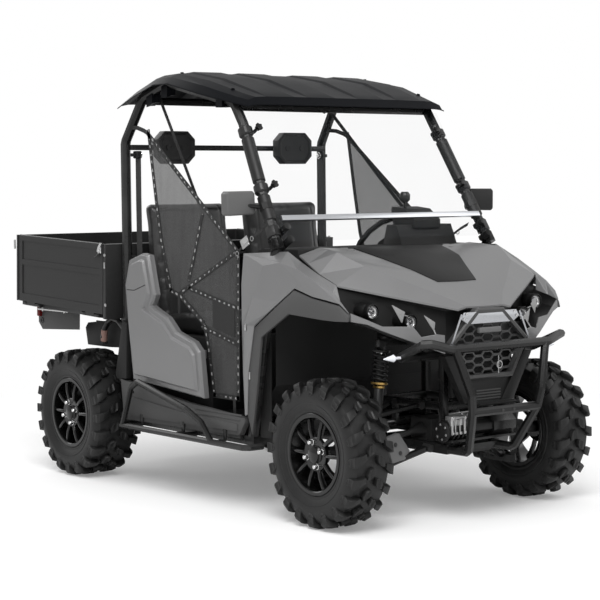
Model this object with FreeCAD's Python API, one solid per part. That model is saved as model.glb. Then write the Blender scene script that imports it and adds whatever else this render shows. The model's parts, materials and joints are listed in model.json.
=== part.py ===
import FreeCAD, Part
import math
import os

# Overall sizes in millimetres: the front faces -Y, the vehicle's left is +X, the ground is at zero
wheelbase = 1880
front_overhang = 476
rear_overhang = 600
tyre_radius = 312.5
front_half_width = 687
rear_half_width = 745
front_tyre_width = 205
rear_tyre_width = 248
ground_clearance = 285

overall_length = front_overhang + wheelbase + rear_overhang
nose = -overall_length / 2
fore = nose + front_overhang
aft = fore + wheelbase
tail = aft + rear_overhang

# Clearances that the pieces share
seat_gap = 0.3
moving_gap = 6
running_clearance = 0.05
overrun = 10

# How finely round forms are drawn: sides of a tube or a thin rod, steps of a bend and pitches round a wheel
tube_sides = 8
rod_sides = 6
bend_steps = 2
tyre_pitches = 16
rim_sides = 16

# Wheels and steering
rim_radius = 172
bead_radius = 158
spindle_radius = 25
hub_face_inset = 36
hub_wall = 34
hub_radius = 45
front_hub_length = 55
rear_hub_length = 60
kingpin_x = 475
knuckle_reach = 110
steer_arm = 110
steer_arm_rise = 70
rod_radius = 8
rack_radius = 13

# Frame
plate_thickness = 3
rail_size = 40
post_size = 30
rail_x = 230
rail_x_front = 130
rail_x_rear = 165
sill_x = 590
post_ahead = 210
post_behind = 190
upper_tube_z = 470
tower_front_top = 690
tower_rear_top = 770
shock_top = 745
rail_nose = 250
rail_tail = 300
hitch_reach = 45
hitch_thickness = 10
hitch_hole_radius = 9.5
shock_offset = 62
rail_z = ground_clearance + plate_thickness
rail_top = rail_z + rail_size
post_half = post_size / 2

# Cabin, set back from the front axle
door_set = 495
floor_set = 340
seat_set = 860
pillar_set = 1520
door_front = fore + door_set
floor_front = fore + floor_set
seat_front = fore + seat_set
pillar_y = fore + pillar_set
floor_z = 400
seat_top = 735
panel_thickness = 4
cabin_half_width = 615
skin_x = 680

# Roll cage
cage_radius = 24
cage_flat = cage_radius * math.cos(math.pi / tube_sides)
cage_bend = 70
pillar_x = 600
cage_top = 1911
roof_half_width = 640

# Hood: places from the front axle and heights
hood_nose = 324
lip_nose = 338
hood_low = 905
hood_high = 1160
hood_half = 580
hood_rear = 230
hood_hinge_back = 240
hood_hinge_z = 1144
hood_thickness = 8
hinge_radius = 9
hinge_pin_radius = 4
hinge_x = 300
hinge_length = 40

# Body panels: the flank round the front wheel, its trim and the lamp recess share these places
flank_low = 424
flank_high = 1146
flank_out = 680
flank_thickness = 7
flank_reach = 500

# Cargo box, tilting on its rear lower pivot
bed_pivot_ahead = 250
bed_wall = 22
gate_wall = 16
bed_beam_x = 205
bed_height = 340
bed_half_width = 700
bed_floor_z = 838
bed_rake = 2.2
latch_reach = 35
bed_lean = 16
bed_front = pillar_y + cage_radius + moving_gap + bed_lean
bed_rear = tail - latch_reach
bed_pivot_y = tail - bed_pivot_ahead
bed_pivot_z = 790
bed_pivot_radius = 14
under_bed = bed_pivot_z - bed_pivot_radius - rail_size


# Building blocks
def vec(x, y, z):
    return FreeCAD.Vector(x, y, z)


def box(x0, x1, y0, y1, z0, z1):
    return Part.makeBox(x1 - x0, y1 - y0, z1 - z0, vec(x0, y0, z0))


def face_of(points):
    return Part.Face(Part.makePolygon(points + points[:1]))


def slab_x(outline, x0, x1):
    return face_of([vec(x0, y, z) for y, z in outline]).extrude(vec(x1 - x0, 0, 0))


def slab_y(outline, y0, y1):
    return face_of([vec(x, y0, z) for x, z in outline]).extrude(vec(0, y1 - y0, 0))


def slab_z(outline, z0, z1):
    return face_of([vec(x, y, z0) for x, y in outline]).extrude(vec(0, 0, z1 - z0))


def shaft(start, end, radius):
    return Part.makeCylinder(radius, (end - start).Length, start, end - start)


def ring_about(centre, direction, radius, sides):
    normal = FreeCAD.Vector(direction).normalize()
    flat = vec(0, 0, 1) if abs(normal.z) < abs(normal.y) + abs(normal.x) else vec(1, 0, 0)
    across = normal.cross(flat).normalize()
    up = across.cross(normal)
    turns = [math.pi * (2 * index + 1) / sides for index in range(sides)]
    return [centre + across * (radius * math.cos(turn)) + up * (radius * math.sin(turn)) for turn in turns]


def prism(rings, closed=False):
    if closed:
        faces = []
        rings = rings + rings[:1]
    else:
        faces = [Part.Face(Part.makePolygon(ring + ring[:1])) for ring in (rings[0], rings[-1])]
    for ring, following in zip(rings, rings[1:]):
        for a, b, c, d in zip(ring, ring[1:] + ring[:1], following[1:] + following[:1], following):
            faces.append(Part.Face(Part.makePolygon([a, b, c, d, a])))
    solid = Part.Solid(Part.makeShell(faces))
    if solid.Volume < 0:
        solid.reverse()
    return solid


def rod(start, end, radius, sides=tube_sides):
    ring = ring_about(start, end - start, radius, sides)
    return prism([ring, [point + end - start for point in ring]])


def turned(profile, count, centre, across, up, axis):
    rings = []
    for index in range(count):
        turn = 2 * math.pi * (index + 1 / 2) / count
        out = across * math.sin(turn) + up * math.cos(turn)
        rings.append([centre + axis * along + out * radius for along, radius in profile])
    return prism(rings, True)


def cone(start, end, radius_start, radius_end):
    return prism([ring_about(start, end - start, radius_start, tube_sides),
                  ring_about(end, end - start, radius_end, tube_sides)])


def mirrored(shape):
    return shape.mirror(vec(0, 0, 0), vec(1, 0, 0))


def both_sides(shapes):
    return shapes + [mirrored(shape) for shape in shapes]


def joined(shapes):
    return shapes[0].multiFuse(shapes[1:]).removeSplitter()


def spread(shares, start, end):
    return [(start[0] + u * (end[0] - start[0]), start[1] + v * (end[1] - start[1])) for u, v in shares]


def bent_line(points, bend):
    line = [points[0]]
    for before, corner, after in zip(points, points[1:], points[2:]):
        back = (before - corner).normalize()
        ahead = (after - corner).normalize()
        half_turn = (math.pi - back.getAngle(ahead)) / 2
        inward = (back + ahead).normalize()
        centre = corner + inward * (bend / math.cos(half_turn))
        sweep = 2 * half_turn / bend_steps
        reach = bend / math.cos(sweep / 2)
        for index in range(bend_steps):
            turn = (index + 1 / 2) * sweep - half_turn
            spoke = FreeCAD.Rotation(back.cross(ahead), -math.degrees(turn)).multVec(-inward)
            line.append(centre + spoke * reach)
    return line + [points[-1]]


def bent_tube(points, radius, bend, sides=tube_sides):
    line = bent_line(points, bend)
    rings = [ring_about(line[0], line[1] - line[0], radius, sides)]
    for before, corner, after in zip(line, line[1:], line[2:]):
        along = (corner - before).normalize()
        normal = along + (after - corner).normalize()
        rings.append([point + along * ((corner - point).dot(normal) / along.dot(normal)) for point in rings[-1]])
    along = (line[-1] - line[-2]).normalize()
    rings.append([point + along * (line[-1] - point).dot(along) for point in rings[-1]])
    return prism(rings)


def beside(line, gap):
    shifted = []
    for index, (x, y) in enumerate(line):
        x0, y0 = line[max(index - 1, 0)]
        x1, y1 = line[min(index + 1, len(line) - 1)]
        first = vec(x - x0, y - y0, 0) if index else vec(x1 - x, y1 - y, 0)
        second = vec(x1 - x, y1 - y, 0) if index < len(line) - 1 else first
        first = vec(-first.y, first.x, 0).normalize()
        second = vec(-second.y, second.x, 0).normalize()
        across = (first + second).normalize()
        reach = gap / across.dot(first)
        shifted.append((x + across.x * reach, y + across.y * reach))
    return shifted


def inset(outline, margin):
    area = sum(a[0] * b[1] - b[0] * a[1] for a, b in zip(outline, outline[1:] + outline[:1]))
    loop = [outline[-1]] + outline + [outline[0]]
    return beside(loop, margin if area > 0 else -margin)[1:-1]


def ribbon(line, width):
    return beside(line, width / 2) + beside(line, -width / 2)[::-1]


def placed(rows, low, high):
    size = high - low
    return [[low + vec(u * size.x, v * size.y, w * size.z) for u, v, w in row] for row in rows]


def whole_width(rows):
    return [[vec(-point.x, point.y, point.z) for point in row[:0:-1]] + row for row in rows]


def bevelled(outline, raised, x0, x1):
    low = [vec(x0, y, z) for y, z in outline]
    high = [vec(x1, y, z) for y, z in raised]
    return prism([low, high])


def triangle(a, b, c):
    return Part.Face(Part.makePolygon([a, b, c, a]))


def creased_panel(rows, depth):
    under = [[point - depth for point in row] for row in rows]
    faces = []
    for grid in (rows, under):
        for row, following in zip(grid, grid[1:]):
            for a, b, c, d in zip(row, row[1:], following[1:], following):
                faces += [triangle(a, b, c), triangle(a, c, d)]
    rim = rows[0] + [row[-1] for row in rows[1:]] + rows[-1][-2::-1] + [row[0] for row in rows[-2:0:-1]]
    low = [point - depth for point in rim]
    for a, b, c, d in zip(rim, rim[1:] + rim[:1], low[1:] + low[:1], low):
        faces += [triangle(a, b, c), triangle(a, c, d)]
    solid = Part.Solid(Part.makeShell(faces))
    if solid.Volume < 0:
        solid.reverse()
    return solid


def hinge_pin(centre, half):
    return shaft(centre - vec(half, 0, 0), centre + vec(half, 0, 0), hinge_pin_radius)


def hinge_bore(centre, half):
    return shaft(centre - vec(half, 0, 0), centre + vec(half, 0, 0), hinge_pin_radius + running_clearance)


def hinge_eye(centre, half):
    return rod(centre - vec(half, 0, 0), centre + vec(half, 0, 0), hinge_radius, rod_sides)


def pivot_rod(x0, x1, radius):
    return shaft(vec(x0, bed_pivot_y, bed_pivot_z), vec(x1, bed_pivot_y, bed_pivot_z), radius)


def raked(shape):
    turned = shape.copy()
    turned.rotate(vec(0, bed_pivot_y, bed_pivot_z), vec(1, 0, 0), bed_rake)
    return turned


def save(name, shapes):
    solids = [solid for shape in shapes for solid in shape.Solids]
    whole = Part.makeCompound(solids) if len(solids) > 1 else solids[0]
    whole.exportStep("parts/" + name + ".step")
    print(name, len(solids), "solids", round(whole.Volume / 1000), "cm3", whole.isValid())


# Frame of square tube
def post(x, y, z0, z1):
    return box(x - post_half, x + post_half, y - post_half, y + post_half, z0, z1)


def cross_tube(half, y, z):
    return box(-half, half, y - post_half, y + post_half, z, z + post_size)


def side_tube(x, y0, y1, z0, z1):
    return slab_x([(y0, z0), (y1, z1), (y1, z1 + post_size), (y0, z0 + post_size)], x - post_half, x + post_half)


def hitch_plate():
    half = rail_size
    end = aft + rail_tail
    return box(-half, half, end - rail_size, end + hitch_reach + half / 2, rail_top, rail_top + hitch_thickness)


def hitch_hole():
    y = aft + rail_tail + hitch_reach
    return shaft(vec(0, y, rail_top - overrun), vec(0, y, rail_top + overrun * 2), hitch_hole_radius)


def frame_rails():
    splay = 400
    side = [(rail_x_front, fore - rail_nose), (rail_x_front, fore + post_behind + rail_size),
            (rail_x, fore + splay), (rail_x, pillar_y), (rail_x_rear, aft - post_behind),
            (rail_x_rear, aft + rail_tail)]
    half = rail_size / 2
    pieces = both_sides([slab_z(ribbon(side, rail_size), rail_z, rail_top)])
    for y, reach in ((fore - post_ahead, rail_x_front), (fore + post_behind, rail_x_front),
                     (door_front + half, rail_x), (seat_front, rail_x), (pillar_y - half, rail_x),
                     (aft + rail_tail - half, rail_x_rear)):
        pieces.append(box(-reach, reach, y - half, y + half, rail_z, rail_top))
    outer = rail_x + half + seat_gap
    sill = [box(sill_x - half, sill_x + half, door_front, pillar_y, rail_z, rail_top)]
    for y in (door_front, pillar_y - rail_size):
        sill.append(box(outer, sill_x, y, y + rail_size, rail_z, rail_top))
    main = joined(pieces + [hitch_plate()]).cut(hitch_hole())
    save("frame_rails", [main] + both_sides([joined(sill)]))


def front_frame():
    shock_bar_half = 370
    shock_bar_z = shock_top
    pieces = both_sides([
        post(rail_x_front, fore - post_ahead, rail_top, tower_front_top),
        post(rail_x_front, fore + post_behind, rail_top, tower_rear_top),
        side_tube(rail_x_front, fore - post_ahead - post_half, fore + post_behind + post_half,
                  tower_front_top, tower_rear_top),
        side_tube(rail_x_front, fore - post_ahead, fore + post_behind, upper_tube_z, upper_tube_z)])
    for y, z in ((fore - post_ahead, tower_front_top), (fore + post_behind, tower_rear_top),
                 (fore - post_ahead, upper_tube_z), (fore + post_behind, upper_tube_z)):
        pieces.append(cross_tube(rail_x_front, y, z))
    pieces.append(cross_tube(shock_bar_half, fore - shock_offset, shock_bar_z))
    save("front_frame", [joined(pieces)])


def rear_frame():
    top = under_bed - post_size
    shock_bar_half = 370
    pieces = both_sides([
        post(rail_x_rear, aft - post_behind, rail_top, top),
        post(rail_x_rear, aft + post_ahead, rail_top, top),
        side_tube(rail_x_rear, pillar_y, bed_pivot_y + post_size, top, top),
        side_tube(rail_x_rear, aft - post_behind, aft + post_ahead, upper_tube_z, upper_tube_z)])
    for y in (aft - post_behind, aft + post_ahead, bed_pivot_y + post_half):
        pieces.append(cross_tube(rail_x_rear, y, top))
    pieces.append(cross_tube(rail_x_rear, aft + post_ahead, upper_tube_z))
    pieces.append(cross_tube(shock_bar_half, aft + shock_offset, top))
    beam_out = bed_beam_x + rail_size
    beam_low = bed_floor_z - bed_wall - rail_size
    pieces.append(cross_tube(beam_out, bed_front + post_size, top))
    pieces += both_sides([
        raked(box(bed_beam_x, beam_out, bed_front + post_half, bed_front + post_half + post_size, top + post_size,
                  beam_low - seat_gap)),
        box(rail_x_rear - post_half, rail_x_rear + post_half, bed_pivot_y - post_half, bed_pivot_y + post_half,
            top, bed_pivot_z + bed_pivot_radius),
        pivot_rod(rail_x_rear, beam_out + moving_gap, bed_pivot_radius)])
    save("rear_frame", [joined(pieces)])


def skid_plate():
    kick = 45
    half = rail_x_front - post_size
    front = fore - rail_nose - plate_thickness
    line = [(front - kick, ground_clearance + kick), (front, ground_clearance + plate_thickness / 2),
            (pillar_y, ground_clearance + plate_thickness / 2)]
    belly = slab_x(ribbon(line, plate_thickness), -half, half)
    wide = box(-sill_x, sill_x, door_front, pillar_y, ground_clearance, rail_z)
    save("skid_plate", [joined([belly, wide])])


# Suspension, steering and drive
bush_radius = 18
bush_length = 44
lower_arm_radius = 15
upper_arm_radius = 12
boss_radius = 20
boss_height = 22
heel_length = 50
shaft_radius = 13
boot_radius = 34
prop_radius = 18
prop_rise = 37.5
shaft_rise = 52.5
prop_z = tyre_radius + prop_rise
shaft_z = tyre_radius + shaft_rise
rear_hub_x = 455
rack_y = fore + steer_arm
rack_z = tyre_radius + steer_arm_rise + seat_gap + rod_radius
shock_foot_x = 400
shock_head_x = 345
lower_ball_z = tyre_radius - knuckle_reach - seat_gap - boss_height / 2
upper_ball_z = tyre_radius + knuckle_reach + seat_gap + boss_height / 2


def wishbone(pivot_x, spread_y, pivot_z, ball, radius, boss):
    heel = ball - vec(heel_length, 0, 0)
    pieces = [boss(ball - vec(0, 0, boss_height / 2), ball + vec(0, 0, boss_height / 2), boss_radius),
              box(heel.x - radius, ball.x, heel.y - radius, heel.y + radius,
                  ball.z - boss_height / 2, ball.z + boss_height / 2)]
    for y in (ball.y - spread_y, ball.y + spread_y):
        pieces.append(rod(vec(pivot_x, y - bush_length / 2, pivot_z),
                          vec(pivot_x, y + bush_length / 2, pivot_z), bush_radius, rod_sides))
        pieces.append(rod(vec(pivot_x, y, pivot_z), heel, radius, rod_sides))
    return pieces


def suspension_arms():
    lower_spread = 150
    upper_spread = 90
    plate_half = 82
    arms = []
    for y, rail, ball_x, boss in ((fore, rail_x_front, kingpin_x, shaft), (aft, rail_x_rear, rear_hub_x, rod)):
        lower_x = rail + rail_size / 2 + bush_radius + seat_gap
        upper_x = rail + post_half + bush_radius + seat_gap
        lower = wishbone(lower_x, lower_spread, rail_z + rail_size / 2, vec(ball_x, y, lower_ball_z), lower_arm_radius,
                         boss)
        foot_x = shock_foot_x - kingpin_x + ball_x
        lower.append(box(foot_x - bush_radius, foot_x + bush_radius, y - plate_half, y + plate_half,
                         lower_ball_z - boss_height / 2, lower_ball_z + boss_height))
        upper = wishbone(upper_x, upper_spread, upper_tube_z + post_half, vec(ball_x, y, upper_ball_z), upper_arm_radius,
                         boss)
        arms += [joined(lower), joined(upper)]
    save("suspension_arms", both_sides(arms))


def upright(half_width, hub_length, spindle_length):
    web = box(-half_width, half_width, -half_width, half_width,
              tyre_radius - knuckle_reach, tyre_radius + knuckle_reach)
    hub = rod(vec(0, 0, tyre_radius), vec(hub_length, 0, tyre_radius), hub_radius)
    spindle = shaft(vec(0, 0, tyre_radius), vec(spindle_length, 0, tyre_radius), spindle_radius - running_clearance)
    return [web, hub, spindle]


def knuckles():
    half = 18
    arm_thickness = 14
    eye_radius = 14
    tip = front_half_width - hub_face_inset - kingpin_x
    arm_z = tyre_radius + steer_arm_rise - arm_thickness
    arm = box(-eye_radius, eye_radius, 0, steer_arm, arm_z, arm_z + arm_thickness)
    eye = rod(vec(0, steer_arm, arm_z), vec(0, steer_arm, arm_z + arm_thickness), eye_radius)
    left = joined(upright(half, front_hub_length, tip) + [arm, eye])
    left.translate(vec(kingpin_x, fore, 0))
    save("knuckle_front_left", [left])
    save("knuckle_front_right", [mirrored(left)])


def hub_carriers():
    half = 18
    tip = rear_half_width - hub_face_inset - rear_hub_x
    left = joined(upright(half, rear_hub_length, tip))
    left.translate(vec(rear_hub_x, aft, 0))
    save("hub_carriers", both_sides([left]))


def steering_rack():
    rack_half = 185
    end = kingpin_x + rod_radius
    bar = rod(vec(-rack_half, rack_y, rack_z), vec(rack_half, rack_y, rack_z), rack_radius)
    link = rod(vec(-end, rack_y, rack_z), vec(end, rack_y, rack_z), rod_radius, rod_sides)
    save("steering_rack", [joined([bar, link])])


def driveline():
    diff_half = 70
    diff_height = 95
    flange = 8
    shaft_gap = 34
    diff_z = shaft_z - diff_height / 2
    axles = []
    for y, inner, outer, start_y, end_y in ((fore, rail_x_front, kingpin_x, fore, engine_front),
                                            (aft, rail_x_rear, rear_hub_x, engine_rear, aft)):
        reach = outer - shaft_gap
        pieces = [box(-diff_half, diff_half, y - diff_half, y + diff_half, diff_z, diff_z + diff_height),
                  box(rail_size / 2 - inner, inner - rail_size / 2, y - diff_half / 2, y + diff_half / 2,
                      diff_z, diff_z + flange),
                  rod(vec(0, start_y, prop_z), vec(0, end_y, prop_z), prop_radius)]
        for side in (-1, 1):
            end = vec(side * reach, y, tyre_radius)
            start = vec(side * diff_half, y, shaft_z)
            boot = (end - start).normalize() * (2 * boot_radius)
            pieces += [rod(start, end, shaft_radius), cone(end - boot, end, shaft_radius, boot_radius),
                       cone(start, start + boot, boot_radius, shaft_radius)]
        axles.append(joined(pieces))
    save("driveline", axles)


def shock_absorbers():
    coil_radius = 37
    body_radius = 22
    stem_radius = 12
    coil_share, body_share, cap_share = 0.7, 0.3, 0.96
    foot_z = lower_ball_z + boss_height + seat_gap
    pieces = []
    for y, shift, head_z in ((fore - shock_offset, 0, shock_top), (aft + shock_offset, rear_hub_x - kingpin_x, under_bed - post_size)):
        foot = vec(shock_foot_x + shift, y, foot_z)
        top = vec(shock_head_x + shift, y, head_z - seat_gap)
        stem_cut = box(0, pillar_x, y - pillar_x, y + pillar_x, foot_z, head_z - seat_gap)
        span = top - foot
        stem = rod(foot - span * 0.05, top + span * 0.05, stem_radius).common(stem_cut)
        tube = rod(foot + span * body_share, foot + span * cap_share, body_radius)
        coil = rod(foot + span * coil_share, foot + span * cap_share, coil_radius)
        pieces.append(joined([stem, tube, coil]))
    save("shock_absorbers", both_sides(pieces))


# Engine and exhaust
engine_set = 1180
engine_front = fore + engine_set
engine_rear = aft - post_behind - post_half - moving_gap
engine_half = 190
engine_top = 690


def engine_block():
    foot = 12
    block = box(-engine_half, engine_half, engine_front, engine_rear, rail_top + foot, engine_top)
    feet = [box(-rail_x, rail_x, y, y + rail_size, rail_top, rail_top + foot)
            for y in (engine_front, pillar_y - rail_size)]
    save("engine_block", [joined([block] + feet)])


def muffler():
    radius = 70
    half = 170
    centre_y = aft + post_ahead + post_size + radius
    centre_z = under_bed - post_size - radius - post_size
    pipe_radius = 20
    pipe_reach = 120
    strap = 8
    can = rod(vec(-half, centre_y, centre_z), vec(half, centre_y, centre_z), radius)
    tail_pipe = rod(vec(-half + pipe_radius * 2, centre_y, centre_z),
                    vec(-half + pipe_radius * 2, centre_y + pipe_reach, centre_z), pipe_radius)
    hangers = [box(x - strap, x + strap, centre_y - post_half, centre_y + post_half, centre_z, under_bed - post_size)
               for x in (-rail_x_rear, rail_x_rear)]
    save("muffler", [joined([can, tail_pipe] + hangers)])


def winch():
    half = 190
    gearbox = 130
    drum_radius = 34
    case_radius = 46
    plate = 5
    y = fore - post_ahead - post_half - case_radius - moving_gap
    plate_z = rail_top + rail_size / 2
    z = plate_z + plate + case_radius
    pieces = [rod(vec(-half, y, z), vec(gearbox - half, y, z), case_radius),
              rod(vec(half - gearbox, y, z), vec(half, y, z), case_radius),
              rod(vec(-half, y, z), vec(half, y, z), drum_radius),
              box(-half, half, y - case_radius, fore - post_ahead - post_half, plate_z, plate_z + 2 * plate)]
    for side in (-1, 1):
        x = side * rail_x_front
        pieces.append(box(x - post_half, x + post_half, fore - rail_nose, fore - post_ahead - post_half,
                          rail_top, plate_z))
    save("winch", [joined(pieces)])


# Cabin
toe_rise = 160
toe_run = 170
firewall_top = 1060
tunnel_half = 110
tunnel_top = 520
seat_base_half = sill_x - rail_size / 2
seat_margin = 30
seat_half = seat_base_half - seat_margin
seat_split = 15
cushion_depth = 500
cushion_height = 120
back_thickness = 110
back_top = 1370
back_lean = 90


def floor_tub():
    half = sill_x - rail_size / 2
    line = [(seat_front, floor_z), (floor_front + toe_run + rail_size, floor_z),
            (floor_front + rail_size, floor_z + toe_rise), (floor_front + rail_size, firewall_top)]
    sheet = slab_x(ribbon(line, panel_thickness), -half, half)
    under = floor_z - panel_thickness / 2
    skirt = box(half - panel_thickness, half, door_front, seat_front, rail_top, under)
    tunnel = slab_y([(-tunnel_half, floor_z), (-tunnel_half * 0.7, tunnel_top), (tunnel_half * 0.7, tunnel_top),
                     (tunnel_half, floor_z)], floor_front + toe_run + rail_size, seat_front)
    save("floor_tub", [joined([sheet, tunnel] + both_sides([skirt]))])


dash_low = 960


def dashboard():
    low = dash_low
    high = 1150
    reach = 220
    cowl_thickness = 40
    front = floor_front + rail_size + panel_thickness / 2 + seat_gap
    half = sill_x - rail_size - overrun
    lead = fore + hood_hinge_back + hinge_radius + moving_gap
    outline = [(front, low), (front + reach * 0.3, low), (front + reach, low + rail_size), (front + reach, high - rail_size),
               (front + reach * 0.6, high), (lead, high), (lead, high - cowl_thickness), (front, high - cowl_thickness)]
    body = slab_x(outline, -half, half)
    pod_shares = [(0, 0), (0.3, 1), (0.8, 1), (1, 0)]
    pod_half = 170
    pod_rise = 90
    pod = slab_x(spread(pod_shares, (front, high), (front + reach * 0.6, high + pod_rise)),
                 steer_wheel_x - pod_half, steer_wheel_x + pod_half)
    hinges = []
    for x in (-hinge_x, hinge_x):
        centre = vec(x, fore + hood_hinge_back, hood_hinge_z)
        hinges.append(hinge_pin(centre, hinge_length))
        for side in (-1, 1):
            ear = centre + vec(side * (hinge_length + moving_gap) * 3 / 4, 0, 0)
            hinges.append(hinge_eye(ear, hinge_length / 4))
            hinges.append(box(ear.x - hinge_length / 4, ear.x + hinge_length / 4, centre.y, lead + cowl_thickness,
                              centre.z - hinge_radius, centre.z))
    whole = joined([body, pod] + hinges)
    for hole in (steering_column(seat_gap), gear_lever(seat_gap)):
        whole = whole.cut(hole)
    save("dashboard", [whole])


steer_wheel_x = 330
steer_wheel_set = 700
steer_wheel_y = fore + steer_wheel_set
steer_wheel_z = 1130
steer_wheel_radius = 170
steer_grip = 14
spoke_share = 0.7
column_radius = 20
column_tilt = 35
column_axis = vec(0, math.cos(math.radians(column_tilt)), math.sin(math.radians(column_tilt)))


column_length = 300
wheel_boss = 30
lever_x = 275
lever_set = 492
lever_y = fore + lever_set
lever_top = 1367
knob_radius = 27


def steering_column(extra=0):
    hub = vec(steer_wheel_x, steer_wheel_y, steer_wheel_z)
    column = rod(hub - column_axis * column_length, hub - column_axis * (wheel_boss + moving_gap), column_radius + extra)
    stub = shaft(hub - column_axis * column_length, hub - column_axis * (wheel_boss / 2), hinge_radius)
    return joined([column, stub])


def gear_lever(extra=0):
    depth = 300
    foot = vec(lever_x, lever_y, lever_top - depth)
    return rod(foot, vec(lever_x, lever_y, lever_top), rod_radius + extra, rod_sides)


def pedal(x):
    width = 60
    foot_z = 560
    face = floor_front + toe_run
    wall = floor_front + rail_size + panel_thickness / 2 + seat_gap
    plate = box(x - width / 2, x + width / 2, face, face + rod_radius, foot_z, foot_z + width)
    stem = rod(vec(x, face + rod_radius / 2, foot_z + width / 2), vec(x, wall + rod_radius, foot_z + 4 * width),
               rod_radius, rod_sides)
    mount = box(x - rod_radius, x + rod_radius, wall, wall + 2 * rod_radius, foot_z + 4 * width - rod_radius,
                foot_z + 5 * width)
    return joined([plate, stem, mount])


def controls():
    housing_radius = 20
    housing_half = 130
    housing = rod(vec(-housing_half, rack_y, rack_z), vec(housing_half, rack_y, rack_z), housing_radius)
    bore = rod(vec(-housing_half - overrun, rack_y, rack_z), vec(housing_half + overrun, rack_y, rack_z),
               rack_radius + running_clearance)
    lugs = both_sides([box(rail_x_front - post_half, rail_x_front, rack_y - post_half, rack_y + post_half,
                           rack_z, upper_tube_z)])
    housing = joined([housing] + lugs).cut(bore)
    knob_shares = ((-1, 0.45), (-0.5, 0.95), (0.4, 1), (0.9, 0.6))
    knob = prism([ring_about(vec(lever_x, lever_y, lever_top + knob_radius * rise), vec(0, 0, 1), knob_radius * wide,
                             tube_sides) for rise, wide in knob_shares])
    pedal_gap = 60
    pedals = [pedal(steer_wheel_x - pedal_gap), pedal(steer_wheel_x + pedal_gap)]
    save("controls", [steering_column(), housing, joined([gear_lever(), knob])] + pedals)


def steering_wheel():
    hub = vec(steer_wheel_x, steer_wheel_y, steer_wheel_z)
    across = vec(1, 0, 0)
    down = column_axis.cross(across)
    turns = [2 * math.pi * index / rod_sides for index in range(rod_sides)]
    ring = [(steer_grip * math.cos(turn), steer_wheel_radius + steer_grip * math.sin(turn)) for turn in turns]
    rim = turned(ring, rim_sides, hub, across, down, column_axis)
    boss = rod(hub - column_axis * wheel_boss, hub + column_axis * steer_grip, wheel_boss + steer_grip)
    bore = shaft(hub - column_axis * (wheel_boss + overrun), hub, hinge_radius + running_clearance)
    pieces = [rim, boss]
    for angle in (0, 180, 270):
        turn = math.radians(angle)
        out = across * math.cos(turn) + down * math.sin(turn)
        pieces.append(rod(hub, hub + out * steer_wheel_radius, steer_grip * spoke_share, rod_sides))
    save("steering_wheel", [joined(pieces).cut(bore)])




def seat_base():
    half = seat_base_half
    sheet = panel_thickness
    riser = box(-half, half, seat_front + sheet / 2, seat_front + 2 * sheet, floor_z, seat_top)
    top = box(-half, half, seat_front + sheet / 2, pillar_y - cage_radius - moving_gap, seat_top - sheet, seat_top)
    end = box(half - sheet, half, seat_front + sheet / 2, pillar_y - cage_radius - moving_gap, rail_top, seat_top)
    save("seat_base", [joined([riser, top] + both_sides([end]))])


def padded_block(x0, x1, outline):
    block = slab_x(outline, x0, x1)
    edge = 18
    return block.makeFillet(edge, [e for e in block.Edges if e.BoundBox.XLength > seat_half / 2])


def seat_cushions():
    shares = [(0, 0.25), (0.03, 0.85), (0.12, 1), (0.9, 0.75), (1, 0.7), (1, 0), (0.03, 0)]
    low = seat_top + seat_gap
    outline = spread(shares, (seat_front, low), (seat_front + cushion_depth, low + cushion_height))
    save("seat_cushions", both_sides([padded_block(seat_split, seat_half, outline)]))


def seat_backs():
    foot = seat_front + cushion_depth + seat_gap
    low = seat_top + seat_gap
    outline = [(foot, low), (foot + back_thickness, low), (foot + back_lean + back_thickness * 0.6, back_top),
               (foot + back_lean, back_top), (foot + back_lean * 0.2, low + cushion_height * 1.5)]
    save("seat_backs", both_sides([padded_block(seat_split * 3, seat_half - seat_split, outline)]))


headrest_x = 362
headrest_z = 1615
headrest_half = 113
headrest_half_height = 85
headrest_depth = 55
bar_size = 26


def headrests():
    bar_y = pillar_y - bar_size
    corner_shares = [(0, 0.25), (0, 0.75), (0.2, 1), (0.8, 1), (1, 0.75), (1, 0.25), (0.8, 0), (0.2, 0)]
    pads = []
    for x in (-headrest_x, headrest_x):
        outline = spread(corner_shares, (x - headrest_half, headrest_z - headrest_half_height),
                         (x + headrest_half, headrest_z + headrest_half_height))
        pads.append(slab_y(outline, bar_y - bar_size / 2 - headrest_depth, bar_y - bar_size / 2))
    bar = box(-pillar_x, pillar_x, bar_y - bar_size / 2, bar_y + bar_size / 2, headrest_z - bar_size / 2, headrest_z + bar_size / 2)
    whole = joined(pads + [bar])
    for tube in both_sides([bent_tube(side_hoop(), cage_radius + seat_gap, cage_bend)]):
        whole = whole.cut(tube)
    save("headrests", [max(whole.Solids, key=lambda solid: solid.Volume)])


# Roll cage, roof and windscreen
hoop_shares = [[(1, 1, 0.858), (0.975, 0.906, 0.968), (0.967, 0.776, 1), (0.943, 0.442, 0.939),
                (0.943, 0.397, 0.887), (1.033, 0.197, 0.612), (1, 0.283, 0.366)]]
hoop_corners = placed(hoop_shares, vec(0, fore, 0), vec(pillar_x, pillar_y, cage_top))[0]
rear_corner, peak_corner, front_corner, upper_pillar, lower_pillar = hoop_corners[1:6]


def side_hoop():
    return ([vec(pillar_x, pillar_y, rail_top)] + hoop_corners
            + [vec(pillar_x, door_front + post_half, rail_top)])


def roll_cage():
    bar_radius = cross_bar_radius
    mid_z = 1080
    sides = both_sides([bent_tube(side_hoop(), cage_radius, cage_bend)])
    bars = [rod(vec(-pillar_x, pillar_y, mid_z), vec(pillar_x, pillar_y, mid_z), bar_radius)]
    for corner in (rear_corner, front_corner):
        end = vec(corner.x, corner.y, corner.z - bar_radius)
        bars.append(rod(vec(-end.x, end.y, end.z), end, bar_radius))
    below = box(-roof_half_width, roof_half_width, fore, aft, 0, rail_top)
    save("roll_cage", [joined(sides + bars).cut(below)])


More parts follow.
